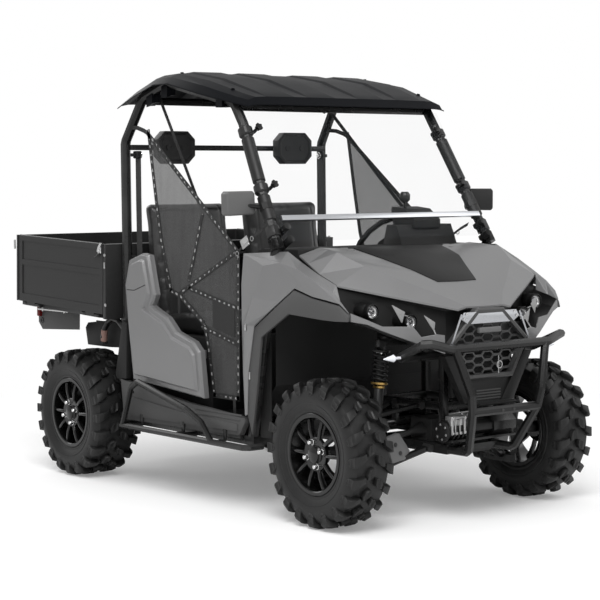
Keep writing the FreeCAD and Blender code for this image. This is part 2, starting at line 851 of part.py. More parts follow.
roof_set = 548
roof_behind = 15
roof_front = fore + roof_set
roof_rear = pillar_y + roof_behind
roof_low = 1775
roof_high = 1962
roof_thickness = 5
roof_station_shares = ((0, 0.9, 0, 0.06), (0.02, 0.91, 0.02, 0.26), (0.09, 0.94, 0.1, 0.37), (0.3, 1, 0.36, 0.74),
                       (0.55, 1, 0.66, 0.97), (0.67, 1, 0.66, 0.95), (0.84, 1, 0.42, 0.64), (1, 0.99, 0.15, 0.3))
roof_cross_shares = ((0, 0.9, 0), (0.1, 0.9, 0), (0.13, 0.9, 0.1), (0.37, 0.9, 0.1), (0.4, 0.9, 0), (0.5, 0.9, 0),
                     (0.53, 0.9, 0.1), (0.77, 0.87, 0.1), (0.8, 0.87, 0), (0.9, 0.8, 0), (0.97, 0.5, 0), (1, 0, 0))


def roof_rows():
    rows = []
    for index, (along, wide, edge, top) in enumerate(roof_station_shares):
        band = 1 if index > 1 else 0
        rows.append([(wide * out, along, edge + (top - edge) * (rise + lift * band))
                     for out, rise, lift in roof_cross_shares])
    return whole_width(placed(rows, vec(0, roof_front, roof_low), vec(roof_half_width, roof_rear, roof_high)))


def roof():
    skin = creased_panel(roof_rows(), vec(0, 0, roof_thickness))
    filler = creased_panel(roof_rows(), vec(0, 0, 4 * cage_radius))
    tube = bent_tube(side_hoop(), cage_radius + seat_gap, cage_bend)
    saddles = []
    for y in (front_corner.y + cage_bend, peak_corner.y, rear_corner.y - cage_bend):
        saddle = box(pillar_x - 2 * cage_radius, pillar_x, y - cage_radius, y + cage_radius, roof_low, roof_high)
        saddles.append(saddle.common(filler).cut(tube))
    save("roof", [joined([skin] + both_sides(saddles))])


screen_thickness = 5
screen_lead = 32
screen_inset = 22
pillar_line = upper_pillar - lower_pillar
screen_normal = vec(0, -pillar_line.z, pillar_line.y).normalize()


def screen_pane(extra=0):
    above = 60
    foot = lower_pillar + screen_normal * (screen_lead - extra)
    head = upper_pillar + screen_normal * (screen_lead - extra) + vec(0, pillar_line.y, pillar_line.z).normalize() * above
    low = foot.x - screen_inset
    high = head.x + screen_inset / 2
    pane = face_of([vec(-low, foot.y, foot.z), vec(low, foot.y, foot.z), vec(high, head.y, head.z), vec(-high, head.y, head.z)])
    return pane.extrude(screen_normal * (screen_thickness + 2 * extra))


def windscreen():
    save("windscreen", [screen_pane()])


# Body panels
def windscreen_fittings():
    bar_z = 1282
    bar_half = 580
    bar_height = 24
    bar_depth = 12
    clamp_half = 24
    knob_radius = 18
    knob_length = 22
    tube = bent_tube(side_hoop(), cage_radius + seat_gap, cage_bend)
    slope = pillar_line * (1 / pillar_line.z)
    spot = lower_pillar + slope * (bar_z - lower_pillar.z)
    face = spot + screen_normal * (screen_lead + screen_thickness + seat_gap)
    face.x = 0
    bar = Part.makeBox(2 * bar_half, bar_depth, bar_height, vec(-bar_half, -bar_depth, -bar_height / 2))
    bar.rotate(vec(0, 0, 0), vec(1, 0, 0), -math.degrees(math.atan2(pillar_line.y, pillar_line.z)))
    bar.translate(face)
    clamps = []
    for share in (0.103, 0.457, 0.933):
        spot = lower_pillar + pillar_line * share
        grip = rod(spot - pillar_line.normalize() * clamp_half, spot + pillar_line.normalize() * clamp_half, cage_radius + rod_radius)
        out = screen_normal * (screen_lead + screen_thickness + knob_length)
        inward = vec(screen_inset + knob_radius, 0, 0)
        arm = rod(spot - inward, spot - inward + out, knob_radius, rod_sides)
        strap = rod(spot - inward, spot, knob_radius / 2, rod_sides)
        clamps.append(joined([grip, arm, strap]).cut(tube).cut(screen_pane(seat_gap)))
    save("windscreen_fittings", [bar] + both_sides(clamps))


mirror_out = 123
mirror_set = 464
mirror_z = 1349


def mirrors():
    centre = vec(pillar_x + mirror_out, fore + mirror_set, mirror_z)
    half_width = 62
    half_height = 52
    depth = 30
    shares = [(0, 0.3), (0.1, 1), (0.8, 0.95), (1, 0.7), (0.95, 0.1), (0.3, 0)]
    outline = spread(shares, (centre.x - half_width, centre.z - half_height), (centre.x + half_width, centre.z + half_height))
    shell = slab_y(outline, centre.y - depth / 2, centre.y + depth / 2)
    along = FreeCAD.Vector(pillar_line).normalize()
    spot = lower_pillar + pillar_line * ((centre.z - bumper_radius - lower_pillar.z) / pillar_line.z)
    grip = rod(spot - along * depth / 2, spot + along * depth / 2, cage_radius + rod_radius)
    stalk = rod(spot, centre, rod_radius, rod_sides)
    mirror = joined([shell, stalk, grip]).cut(bent_tube(side_hoop(), cage_radius + seat_gap, cage_bend))
    save("mirrors", both_sides([mirror]))


# Hood: a creased sheet from the cowl down to the grille, with its dark insert on top
hood_insert_rows = 5
insert_thickness = 4


def hood_panel():
    shares = [[(0, 1, 0.961), (0.44, 1, 0.949), (0.759, 1, 0.992), (0.952, 1, 0.875)],
              [(0, 0.859, 0.882), (0.422, 0.859, 0.875), (0.784, 0.859, 0.969), (0.976, 0.859, 0.749)],
              [(0, 0.713, 0.776), (0.388, 0.713, 0.788), (0.816, 0.713, 0.929), (0.986, 0.713, 0.588)],
              [(0, 0.493, 0.592), (0.276, 0.493, 0.6), (0.733, 0.493, 0.706), (0.993, 0.493, 0.42)],
              [(0, 0.303, 0.404), (0.193, 0.303, 0.412), (0.517, 0.303, 0.451), (0.71, 0.303, 0.255)],
              [(0, 0.137, 0.196), (0.129, 0.137, 0.204), (0.31, 0.137, 0.224), (0.462, 0.137, 0.114)],
              [(0, 0, 0.027), (0.086, 0, 0.031), (0.181, 0, 0.039), (0.259, 0, 0)]]
    return placed(shares, vec(0, fore - hood_nose, hood_low), vec(hood_half, fore + hood_rear, hood_high))


def hood():
    skin = creased_panel(whole_width(hood_panel()), vec(0, 0, hood_thickness))
    eyes = []
    for x in (-hinge_x, hinge_x):
        centre = vec(x, fore + hood_hinge_back, hood_hinge_z)
        arm = box(x - hinge_length / 2, x + hinge_length / 2, fore + hood_rear - hinge_length, fore + hood_hinge_back,
                  hood_hinge_z - hinge_radius, hood_hinge_z)
        eye = joined([hinge_eye(centre, hinge_length / 2), arm])
        eyes.append(eye.cut(hinge_bore(centre, hinge_length)))
    save("hood", [joined([skin] + eyes)])


def hood_insert():
    rows = [[point + vec(0, 0, seat_gap + insert_thickness) for point in row[:2]] for row in hood_panel()]
    save("hood_insert", [creased_panel(whole_width(rows[:hood_insert_rows]), vec(0, 0, insert_thickness))])


# Fenders: flank, trim and lip all follow the same frame of places round the front wheel
def panel_frame():
    return vec(0, fore, flank_low), vec(flank_out, fore + flank_reach, flank_high)


def lip_frame():
    return vec(0, fore - lip_nose, flank_low), vec(flank_out, fore, flank_high)


def cage_hole():
    return bent_tube(side_hoop(), cage_radius + seat_gap, cage_bend)


def front_fenders():
    flank_shares = [[(0.962, 0.996, 0), (0.968, 0.982, 0.006), (0.956, 0.968, 0.008)],
                    [(0.971, 1, 0.263), (0.982, 0.972, 0.263), (0.959, 0.94, 0.263)],
                    [(0.976, 1, 0.557), (0.994, 0.93, 0.554), (0.959, 0.848, 0.551)],
                    [(0.976, 1, 0.798), (1, 0.8, 0.722), (0.962, 0.66, 0.632)],
                    [(0.959, 0.994, 0.983), (0.988, 0.66, 0.916), (0.965, 0.48, 0.704)],
                    [(0.9, 0.47, 1), (0.976, 0.44, 0.936), (0.965, 0.268, 0.792)],
                    [(0.859, 0.35, 0.936), (0.956, 0.24, 0.902), (0.956, 0.04, 0.749)],
                    [(0.862, 0.12, 0.87), (0.941, 0.04, 0.839), (0.944, -0.12, 0.733)],
                    [(0.862, -0.104, 0.817), (0.915, -0.16, 0.777), (0.924, -0.26, 0.715)],
                    [(0.853, -0.12, 0.722), (0.891, -0.22, 0.694), (0.9, -0.33, 0.666)]]
    flank = creased_panel(placed(flank_shares, *panel_frame()), vec(flank_thickness, 0, flank_thickness / 3))
    lip_shares = [[(0.882, 0.503, 0.663), (0.882, 0.491, 0.615)],
                  [(0.794, 0.414, 0.625), (0.794, 0.402, 0.597)],
                  [(0.706, 0.325, 0.584), (0.706, 0.32, 0.557)],
                  [(0.538, 0.157, 0.579), (0.538, 0.142, 0.489)],
                  [(0.491, 0.109, 0.518), (0.491, 0.101, 0.47)],
                  [(0.401, 0.024, 0.532), (0.401, 0.018, 0.435)],
                  [(0.353, -0.006, 0.525), (0.353, -0.012, 0.416)]]
    lip = creased_panel(placed(lip_shares, *lip_frame()), vec(0, -flank_thickness - insert_thickness / 5, 0))
    save("front_fenders", both_sides([flank.cut(cage_hole()), lip]))


def arch_trims():
    trim_shares = [[(0.956, 0.968, 0.006), (0.963, 0.89, -0.109)],
                   [(0.959, 0.94, 0.263), (0.976, 0.792, 0.168)],
                   [(0.959, 0.848, 0.548), (0.982, 0.71, 0.49)],
                   [(0.965, 0.48, 0.701), (0.985, 0.516, 0.565)],
                   [(0.965, 0.268, 0.789), (0.988, 0.318, 0.641)],
                   [(0.956, 0.04, 0.747), (0.982, 0.12, 0.632)],
                   [(0.944, -0.12, 0.73), (0.963, -0.09, 0.62)],
                   [(0.924, -0.26, 0.712), (0.941, -0.22, 0.615)],
                   [(0.9, -0.33, 0.663), (0.912, -0.336, 0.615)]]
    rows = placed(trim_shares, *panel_frame())
    inset = [[row[0] + (row[1] - row[0]).normalize() * flank_thickness, row[1]] for row in rows]
    trim = creased_panel(inset, vec(flank_thickness * 2, 0, 0))
    save("arch_trims", both_sides([trim.cut(cage_hole())]))


def inner_fenders():
    top = dash_low - moving_gap
    wall = box(sill_x, sill_x + panel_thickness, floor_front + rail_size + panel_thickness, door_front - post_size,
               rail_top + seat_gap, top)
    save("inner_fenders", both_sides([wall.cut(cage_hole())]))


def nose_cover():
    recess_shares = [[(0.856, 0.899, 0.798), (0.856, 0.882, 0.639), (0.856, 0.518, 0.622)],
                     [(0.606, 0.669, 0.74), (0.606, 0.645, 0.542), (0.606, 0.254, 0.51)],
                     [(0.394, 0.423, 0.69), (0.394, 0.408, 0.454), (0.394, 0.059, 0.44)],
                     [(0.235, 0.243, 0.65), (0.235, 0.225, 0.403), (0.235, 0.047, 0.403)]]
    rows = placed(recess_shares, *lip_frame())
    rows += [[vec(-point.x, point.y, point.z) for point in row] for row in rows[::-1]]
    recess = creased_panel(rows, vec(0, -panel_thickness, panel_thickness))
    back = fore - post_ahead - post_half - seat_gap
    chin_shares = [(0.21, 1), (0.79, 1), (0.66, 0), (0.34, 0)]
    chin = slab_y(spread(chin_shares, (-grille_half, chin_low), (grille_half, grille_low - seat_gap)), chin_front,
                  chin_front + 2 * rail_size)
    strut_low, strut_high = (0, chin_low), (grille_half, grille_waist)
    strut = slab_y(spread([(1.118, 0.79), (0.9, 0.79), (0.3, 0), (0.62, 0)], strut_low, strut_high),
                   chin_front - flank_thickness, chin_front + post_size)
    strut_root = slab_y(spread([(1.16, 1), (1.06, 1), (0.3, 0), (0.62, 0)], strut_low, strut_high),
                        chin_front + post_half + panel_thickness, chin_front + post_size)
    shelf_half = 0.5 * grille_half
    shelf = box(-shelf_half, shelf_half, bumper_front + 2 * bumper_radius, chin_front + rail_size, chin_low - 2 * panel_thickness, chin_low)
    rib = panel_thickness
    ribs = [box(-shelf_half, shelf_half, y, y + rib, chin_low, chin_low + rib)
            for y in (bumper_front + 3 * bumper_radius, bumper_front + 4 * bumper_radius)]
    stay = box(-rail_x_front + post_half, rail_x_front - post_half, chin_front + rail_size, back, grille_low - rail_size, grille_low)
    holes = [lamp_barrel(x, behind, z, seat_gap) for x, behind, z in lamp_places]
    cover = joined([recess, chin, shelf, stay] + ribs + both_sides([strut, strut_root]))
    for hole in both_sides(holes):
        cover = cover.cut(hole)
    save("nose_cover", [cover])


# Grille: a bevelled frame round a mesh of long hexagons
grille_half = 226
grille_low = 609
grille_high = 905
grille_waist_share = 0.54
grille_waist = grille_low + grille_waist_share * (grille_high - grille_low)
grille_reach = 362
grille_seat = 330
chin_reach = 345
bumper_reach = 448
grille_front = fore - grille_reach
grille_back = fore - grille_seat - seat_gap
chin_low = 512
chin_front = fore - chin_reach
bumper_front = fore - bumper_reach
bumper_radius = 19


def grille_outline(margin):
    waist = grille_waist_share
    shares = [(0.33, 1), (0.67, 1), (1, waist), (0.79, 0), (0.21, 0), (0, waist)]
    outline = spread(shares, (-grille_half, grille_low), (grille_half, grille_high))
    return inset(outline, margin) if margin else outline


def grille():
    border = 20
    mesh_thickness = 6
    cell_half = 30
    cell_rise = 14
    strand = 5
    shares = [(-1, 0), (-0.6, 1), (0.6, 1), (1, 0), (0.6, -1), (-0.6, -1)]
    outer = [vec(x, grille_front + mesh_thickness, z) for x, z in grille_outline(0)]
    rear = [vec(x, grille_back, z) for x, z in grille_outline(0)]
    front = [vec(x, grille_front, z) for x, z in grille_outline(border / 3)]
    frame = prism([front, outer, rear])
    hole = slab_y(grille_outline(border), grille_front - overrun, grille_back + overrun)
    mesh = slab_y(grille_outline(border - strand), grille_back - 2 * mesh_thickness, grille_back - mesh_thickness)
    step_x = 2 * cell_half * 0.8 + strand
    step_z = cell_rise + strand
    cells = []
    rows = int((grille_high - grille_low) / step_z)
    columns = int(2 * grille_half / step_x)
    for row in range(rows):
        for column in range(columns + 1):
            x = (column - columns / 2) * 2 * step_x + (row % 2) * step_x
            z = grille_low + border + row * step_z
            if abs(x) > grille_half:
                continue
            cell = [(x + u * cell_half, z + v * cell_rise) for u, v in shares]
            cells.append(slab_y(cell, grille_back - 3 * mesh_thickness, grille_back))
    mesh = mesh.cut(cells[0].multiFuse(cells[1:]))
    save("grille", [joined([frame.cut(hole), mesh])])


# Lamps: a barrel through the recess wall with a tapered lens ring in front
lamp_places = ((475, 161, 902), (327, 232, 856))
lamp_radius = 33
lamp_depth = 110


def lamp_barrel(x, ahead, z, extra=0):
    return rod(vec(x, fore - ahead, z), vec(x, fore - ahead + lamp_depth, z), lamp_radius + extra, 2 * tube_sides)


def front_lamps():
    lamps = []
    for x, ahead, z in lamp_places:
        centre = vec(x, fore - ahead, z)
        bezel = 6
        lens = prism([ring_about(centre - vec(0, bezel, 0), vec(0, 1, 0), lamp_radius * 0.62, 2 * tube_sides),
                      ring_about(centre, vec(0, 1, 0), lamp_radius * 0.8, 2 * tube_sides)])
        lamps.append(joined([lamp_barrel(x, ahead, z), lens]))
    save("front_lamps", both_sides(lamps))


# Front bumper and its direction lamps
bumper_bend = 40


bumper_horn_x = 396
bumper_horn_z = 784
bumper_knee_z = 559
bumper_low_z = 487
bumper_foot_z = 308


def bumper_horn():
    tips = placed([[(0.972, 0.469, 0.901), (1, 0.893, 1), (0.707, 0.944, 0.96)]], vec(0, fore, 0),
                  vec(bumper_horn_x, bumper_front, bumper_horn_z))[0]
    return [vec(rail_x_front + post_half + seat_gap, tips[0].y, tips[0].z)] + tips


def front_bumper():
    horn = bumper_horn()
    loop = bent_tube(horn + [vec(-p.x, p.y, p.z) for p in horn[::-1]], bumper_radius, bumper_bend)
    knee = vec(bumper_horn_x * 0.507, bumper_front - bumper_radius / 2, bumper_knee_z)
    low = vec(bumper_horn_x * 0.475, bumper_front, bumper_low_z)
    foot = vec(rail_x_front, grille_front, bumper_foot_z)
    line = [horn[-1] + vec(-bumper_radius, 0, 0), knee, low, foot, vec(rail_x_front, fore - rail_nose - seat_gap, foot.z)]
    posts = both_sides([bent_tube(line, bumper_radius, bumper_bend)])
    cross = rod(vec(-low.x, low.y, low.z), low, bumper_radius)
    save("front_bumper", [joined([loop, cross] + posts)])


def indicators():
    horn = bumper_horn()
    start = horn[1] + vec(0, -bumper_radius, 0) + (horn[2] - horn[1]) * 0.1
    arrow_length = 60
    arrow_half = 16
    stalk = 30
    stalk_radius = 6
    out = vec(1, 0, 0)
    base = start + out * (bumper_radius + seat_gap)
    stalk_end = base + out * stalk
    rings = [ring_about(stalk_end, out, stalk_radius, rod_sides),
             ring_about(stalk_end + out * stalk_radius, out, arrow_half, rod_sides),
             ring_about(stalk_end + out * arrow_length, out, stalk_radius / 3, rod_sides)]
    save("indicators", both_sides([joined([rod(base, stalk_end, stalk_radius), prism(rings)])]))


# Sides: seat panel, rocker, step bar
side_foot_z = 640
rocker_out = 654
side_panel_set = 807
side_panel_margin = 75
side_panel_rear = pillar_y - side_panel_margin
side_panel_low = 471
side_panel_high = 1115
rocker_set = 500
rocker_high = 504
side_inner = pillar_x + cage_radius + panel_thickness / 2


def side_panels():
    shares = [(0.936, 0.952), (0.766, 1), (0.683, 0.988), (0.603, 0.702), (0.654, 0.62), (0.453, 0.548),
              (0.337, 0.452), (0.118, 0.394), (0.042, 0.328), (0, 0), (0.906, 0.064), (0.97, 0.506), (1, 0.761)]
    outline = spread(shares, (fore + side_panel_set, side_panel_low), (side_panel_rear, side_panel_high))
    bevel = 14
    inner = side_inner
    pieces = [slab_x(outline, inner, skin_x - 2 * bevel)]
    for level in (1, 2):
        low = inset(outline, (level - 1) * bevel * 2)
        high = inset(outline, (level - 1) * bevel * 2 + bevel / 2)
        pieces.append(bevelled(low, high, skin_x - (3 - level) * bevel, skin_x - (2 - level) * bevel))
    feet = [box(seat_base_half + seat_gap, inner, y, y + rail_size, side_foot_z, side_foot_z + rail_size)
            for y in (seat_front + rail_size, seat_front + 8 * rail_size)]
    save("side_panels", both_sides([joined(pieces + feet)]))


def rockers():
    shares = [(0, 0.42), (0.04, 0.11), (0.43, 0.05), (0.977, 0), (1, 1), (0.449, 0.67), (0, 0.52)]
    low = (fore + rocker_set, rail_top - post_half)
    high = (pillar_y - overrun, rocker_high)
    inner = side_inner
    skin = slab_x(spread(shares, low, high), inner, rocker_out)
    step_shares = [(0.05, 0.2), (0.93, 0.12), (0.95, 0.62), (0.45, 0.42), (0.05, 0.36)]
    step = slab_x(spread(step_shares, low, high), rocker_out, rocker_out + bumper_radius / 3)
    foot = box(sill_x + rail_size / 2 + seat_gap, inner, door_front + 2 * rail_size, pillar_y - rail_size,
               rail_top - post_half, rail_top)
    save("rockers", both_sides([joined([skin, step, foot])]))


side_bar_out = 700
side_bar_z = 293
side_bar_high = 513
side_bar_set = 430
side_bar_margin = 65
side_hoop_set = 691


def side_bars():
    inner = sill_x + rail_size / 2 + seat_gap
    out = side_bar_out
    low_z = side_bar_z
    bar_radius = 14
    front = fore + side_bar_set
    rear = pillar_y - side_bar_margin
    low = [vec(inner, front, low_z), vec(out, front, low_z), vec(out, rear, low_z), vec(inner, rear, low_z)]
    stay_y = (front + rear) / 2
    stay = rod(vec(inner, stay_y, low_z), vec(out, stay_y, low_z), bar_radius)
    shares = [(1, 0), (0.892, 0.855), (0.812, 1), (0.266, 0.586), (0.104, 0.364), (0, 0)]
    hoop_front = fore + side_hoop_set
    hoop = [vec(out, y, z) for y, z in spread(shares, (hoop_front, low_z), (rear - 2 * bar_radius, side_bar_high))]
    tubes = [bent_tube(low, bar_radius, rail_size), stay, bent_tube(hoop, bar_radius, 2 * bar_radius)]
    save("side_bars", both_sides([joined(tubes)]))


# Nets, belts and the dark quarter behind the seat
net_x = 602
net_thickness = 4


net_set = 590
net_reach = 1320
net_foot_z = 475
net_top_z = 1693
net_low = (fore + net_set, net_foot_z)
net_high = (fore + net_reach, net_top_z)
strap_width = 25
cross_bar_radius = 19


def strap_between(start, end):
    along = (end - start).normalize()
    across = along.cross(vec(1, 0, 0)).normalize() * (strap_width / 2)
    thick = vec(net_thickness / 2, 0, 0)
    rings = [[spot - across - thick, spot + across - thick, spot + across + thick, spot - across + thick]
             for spot in (start, end)]
    return prism(rings)


def door_nets():
    shares = [(1, 1), (0, 0.546), (0.016, 0), (0.292, 0), (0.35, 0.175), (0.39, 0.263), (0.65, 0.36), (0.76, 0.378),
              (0.87, 0.58), (0.92, 0.73)]
    middle = net_x + net_thickness / 2
    net = slab_x(spread(shares, net_low, net_high), net_x, net_x + net_thickness)
    (start_y, start_z), (end_y, end_z), (low_y, low_z), (tie_y, tie_z) = spread(
        [(0.42, 0.686), (0.98, 1.1), (0.06, 0.03), (-0.33, 0.655)], net_low, net_high)
    upper = strap_between(vec(middle, start_y, start_z), vec(middle - 4 * strap_width, end_y + strap_width, end_z + strap_width))
    lower = strap_between(vec(middle, low_y, low_z), vec(middle, low_y, rail_top + seat_gap))
    front = strap_between(vec(middle, low_y + strap_width, low_z + 0.51 * (net_high[1] - net_low[1])), vec(middle, tie_y, tie_z))
    corner = rear_corner
    bar = rod(vec(0, corner.y, corner.z - cross_bar_radius), vec(pillar_x, corner.y, corner.z - cross_bar_radius),
              cross_bar_radius + seat_gap)
    whole = joined([net, upper, lower, front]).cut(cage_hole()).cut(bar)
    save("door_nets", both_sides([max(whole.Solids, key=lambda solid: solid.Volume)]))


def seat_belts():
    strap_width = 45
    strap = 3
    guide = 40
    top = 1560
    low = 860
    y = pillar_y - cage_radius - seat_gap - guide
    x = pillar_x - cage_flat - seat_gap
    blocks = [box(x - guide / 2, x, y, y + guide + cage_radius, z, z + guide) for z in (top, low)]
    web = box(x - guide / 2, x - guide / 2 + strap, y - strap_width + guide, y + guide, low, top)
    belt = joined(blocks + [web]).cut(bent_tube(side_hoop(), cage_radius + seat_gap, cage_bend))
    save("seat_belts", both_sides([belt]))


quarter_top = 790


def rear_fenders():
    shares = [(0, 0.95), (0.35, 1), (1, 0.05), (0.85, 0), (0.1, 0.02)]
    quarter = slab_x(spread(shares, (side_panel_rear + moving_gap, rocker_high), (pillar_y + rail_size, quarter_top)),
                     pillar_x + cage_flat + seat_gap, rocker_out)
    guard_half = 370
    top = under_bed
    outline_shares = [(0, 1), (1, 1), (1, 0.2), (0.82, 0), (0.75, 0.7), (0, 0.7)]
    guard = slab_x(spread(outline_shares, (aft - post_ahead, top - 2 * post_size), (aft + tyre_radius, top)),
                   guard_half + seat_gap, guard_half + seat_gap + panel_thickness)
    save("rear_fenders", both_sides([quarter, guard]))


# Cargo box: floor, bulkhead and three gates that hang on pins
bed_side = bed_half_width - bed_wall
gate_pin_z = bed_floor_z - bed_wall / 2
gate_pin_in = gate_wall / 2


def bed_beam(side):
    return box(side * bed_beam_x, side * (bed_beam_x + rail_size), bed_front, bed_rear - bed_wall,
               bed_floor_z - bed_wall - rail_size, bed_floor_z - bed_wall)


def gate_hinge(places, half):
    lugs = []
    pins = []
    eyes = []
    for place in places:
        centre = vec(place, 0, 0)
        pins.append(hinge_pin(centre, 2 * half))
        for side in (-1, 1):
            lug = hinge_eye(centre + vec(side * (3 * half / 2 + moving_gap / 2), 0, 0), half / 2)
            root = box(lug.BoundBox.XMin, lug.BoundBox.XMax, 0, hinge_radius * 2, -hinge_radius, hinge_radius)
            lugs.append(joined([lug, root]))
        eye = hinge_eye(centre, half)
        strap = box(place - half, place + half, -gate_wall / 2, gate_wall / 2, 0, bed_wall / 2 + overrun)
        eyes.append(joined([eye, strap]).cut(hinge_bore(centre, 2 * half)))
    return lugs + pins, eyes


def turned_to_side(shape):
    moved = shape.copy()
    moved.rotate(vec(0, 0, 0), vec(0, 0, 1), 90)
    moved.translate(vec(bed_half_width - gate_pin_in, (bed_front + bed_rear) / 2, gate_pin_z))
    return moved


def turned_to_tail(shape):
    moved = shape.copy()
    moved.rotate(vec(0, 0, 0), vec(0, 0, 1), 180)
    moved.translate(vec(0, bed_rear - gate_pin_in, gate_pin_z))
    return moved


def cargo_bed():
    top = bed_floor_z + bed_height
    floor = box(-bed_side, bed_side, bed_front, bed_rear - bed_wall, bed_floor_z - bed_wall, bed_floor_z)
    head = box(-bed_half_width, bed_half_width, bed_front, bed_front + bed_wall, bed_floor_z - bed_wall, top)
    rail = box(-bed_side, bed_side, bed_front, bed_front + 2 * bed_wall, top - bed_wall, top)
    beams = [bed_beam(1), mirrored(bed_beam(1))]
    ears = both_sides([box(bed_beam_x, bed_beam_x + rail_size, bed_pivot_y - post_half, bed_pivot_y + post_half,
                           bed_pivot_z - 2 * bed_pivot_radius, bed_floor_z - bed_wall)])
    side_lugs, _ = gate_hinge(side_hinge_places, hinge_length)
    tail_lugs, _ = gate_hinge(tail_hinge_places, hinge_length)
    lugs = both_sides([turned_to_side(lug) for lug in side_lugs]) + [turned_to_tail(lug) for lug in tail_lugs]
    whole = joined([floor, head, rail] + beams + ears + lugs)
    for side in (-1, 1):
        whole = whole.cut(pivot_rod(side * (bed_beam_x - overrun), side * (bed_beam_x + rail_size + overrun),
                                    bed_pivot_radius + running_clearance))
    save("cargo_bed", [raked(whole)])


side_hinge_places = [(bed_rear - bed_front) * share for share in (-0.33, 0.33)]
tail_hinge_places = [bed_half_width * share for share in (-0.7, 0.7)]


def pressed_gate(half, height):
    bead = gate_wall / 4
    sheet = box(-half, half, -gate_wall / 2, gate_wall / 2, 0, height)
    rim = 2 * gate_wall
    recesses = []
    for low_share, high_share in ((0.12, 0.56), (0.64, 0.92)):
        low = [vec(x, gate_wall / 2 + overrun, z) for x, z in
               spread([(0, 0), (1, 0), (1, 1), (0, 1)], (rim - half, height * low_share), (half - rim, height * high_share))]
        deep = [point + vec(0, -overrun - bead, 0) for point in low]
        recesses.append(prism([low, deep]))
    return sheet.cut(recesses[0]).cut(recesses[1])


def side_gates():
    _, eyes = gate_hinge(side_hinge_places, hinge_length)
    half = (bed_rear - bed_front) / 2 - bed_wall - moving_gap
    panel = pressed_gate(half, bed_height)
    panel.rotate(vec(0, 0, 0), vec(0, 0, 1), 180)
    panel.translate(vec(0, 0, bed_wall / 2))
    gate = raked(turned_to_side(joined([panel] + eyes)))
    save("side_gate_left", [gate])
    save("side_gate_right", [mirrored(gate)])


def tailgate():
    _, eyes = gate_hinge(tail_hinge_places, hinge_length)
    panel = pressed_gate(bed_half_width, bed_height)
    panel.rotate(vec(0, 0, 0), vec(0, 0, 1), 180)
    panel.translate(vec(0, 0, bed_wall / 2))
    gate = raked(turned_to_tail(joined([panel] + eyes)))
    latch_height = 60
    latch_z = bed_floor_z + bed_height - 2 * latch_height
    latch = box(bed_half_width - 2 * rail_size, bed_half_width - rail_size, bed_rear - bed_wall, tail, latch_z,
                latch_z + latch_height)
    save("tailgate", [joined([gate] + both_sides([latch]))])


def tail_lamps():
    wide = 130
    tall = 60
    deep = 30
    x = bed_half_width - 2 * rail_size - wide
    top = bed_floor_z - bed_wall - seat_gap
    lamp = box(x, x + wide, bed_rear - 3 * bed_wall - deep, bed_rear - 3 * bed_wall, top - tall, top)
    save("tail_lamps", both_sides([raked(lamp)]))


# Wheels: a faceted carcass with slanted lugs that wrap the shoulders, and a rim of five split spokes
tyre_profile_shares = [(-0.8, 0), (-0.8, 0.11), (-1, 0.42), (-0.9, 0.83), (0.9, 0.83), (1, 0.42), (0.8, 0.11), (0.8, 0)]


def wheel_ring(profile, count):
    return turned(profile, count, vec(0, 0, 0), vec(0, 1, 0), vec(0, 0, 1), vec(1, 0, 0))


def polar(x, turn, radius):
    return vec(x, radius * math.sin(turn), radius * math.cos(turn))


def tyre(width):
    half = width / 2
    depth = tyre_radius - bead_radius
    carcass = wheel_ring([(u * half, bead_radius + v * depth) for u, v in tyre_profile_shares], tyre_pitches)
    lug_shares = [(0.02, 1, 0.36, 0.02), (0.78, 0.98, 0.08, -0.26), (0.99, 0.72, 0, -0.3)]
    pitch = 2 * math.pi / tyre_pitches
    pieces = [carcass]
    for index in range(tyre_pitches):
        for side in (-1, 1):
            turn = pitch * (index + (0.5 if side > 0 else 0))
            rows = []
            for across, up, first, last in lug_shares:
                radius = bead_radius + depth * up
                rows.append([polar(side * across * half, turn + pitch * share, radius) for share in (first, last)])
            inward = polar(0, turn, depth * 0.2)
            pieces.append(creased_panel(rows, inward))
    return joined(pieces)


def rim(width):
    half = width / 2
    wall = 5
    flange = 6
    edge = 0.8 * half + seat_gap + flange
    low = bead_radius - seat_gap - wall
    seat = edge - flange
    barrel = wheel_ring([(-edge, rim_radius), (-edge, low), (edge, low), (edge, rim_radius), (seat, rim_radius),
                         (seat, bead_radius - seat_gap), (-seat, bead_radius - seat_gap), (-seat, rim_radius)], rim_sides)
    face = half - 22
    spoke_depth = 16
    spoke_half = 9
    root = 30
    pieces = [barrel, rod(vec(face - hub_wall - 2 * spoke_half, 0, 0), vec(face, 0, 0), hub_radius + spoke_half)]
    for index in range(10):
        lean = 1 if index % 2 else -1
        spoke = slab_x([(lean * (root - spoke_half), root), (lean * (root + spoke_half), root),
                        (lean * (root + 3 * spoke_half), 0.91 * (low + wall / 2)),
                        (lean * (root + spoke_half), 0.955 * (low + wall / 2))], face - spoke_depth, face)
        spoke.rotate(vec(0, 0, 0), vec(1, 0, 0), 72 * (index // 2))
        pieces.append(spoke)
    bore = shaft(vec(-half, 0, 0), vec(half - hub_wall, 0, 0), spindle_radius)
    return joined(pieces).cut(bore)


def wheels():
    for end, y, width, half_width in (("front", fore, front_tyre_width, front_half_width),
                                      ("rear", aft, rear_tyre_width, rear_half_width)):
        place = vec(half_width - width / 2, y, tyre_radius)
        for name, shape in (("tyre", tyre(width)), ("rim", rim(width))):
            shape.translate(place)
            save(name + "_" + end + "_left", [shape])
            save(name + "_" + end + "_right", [mirrored(shape)])


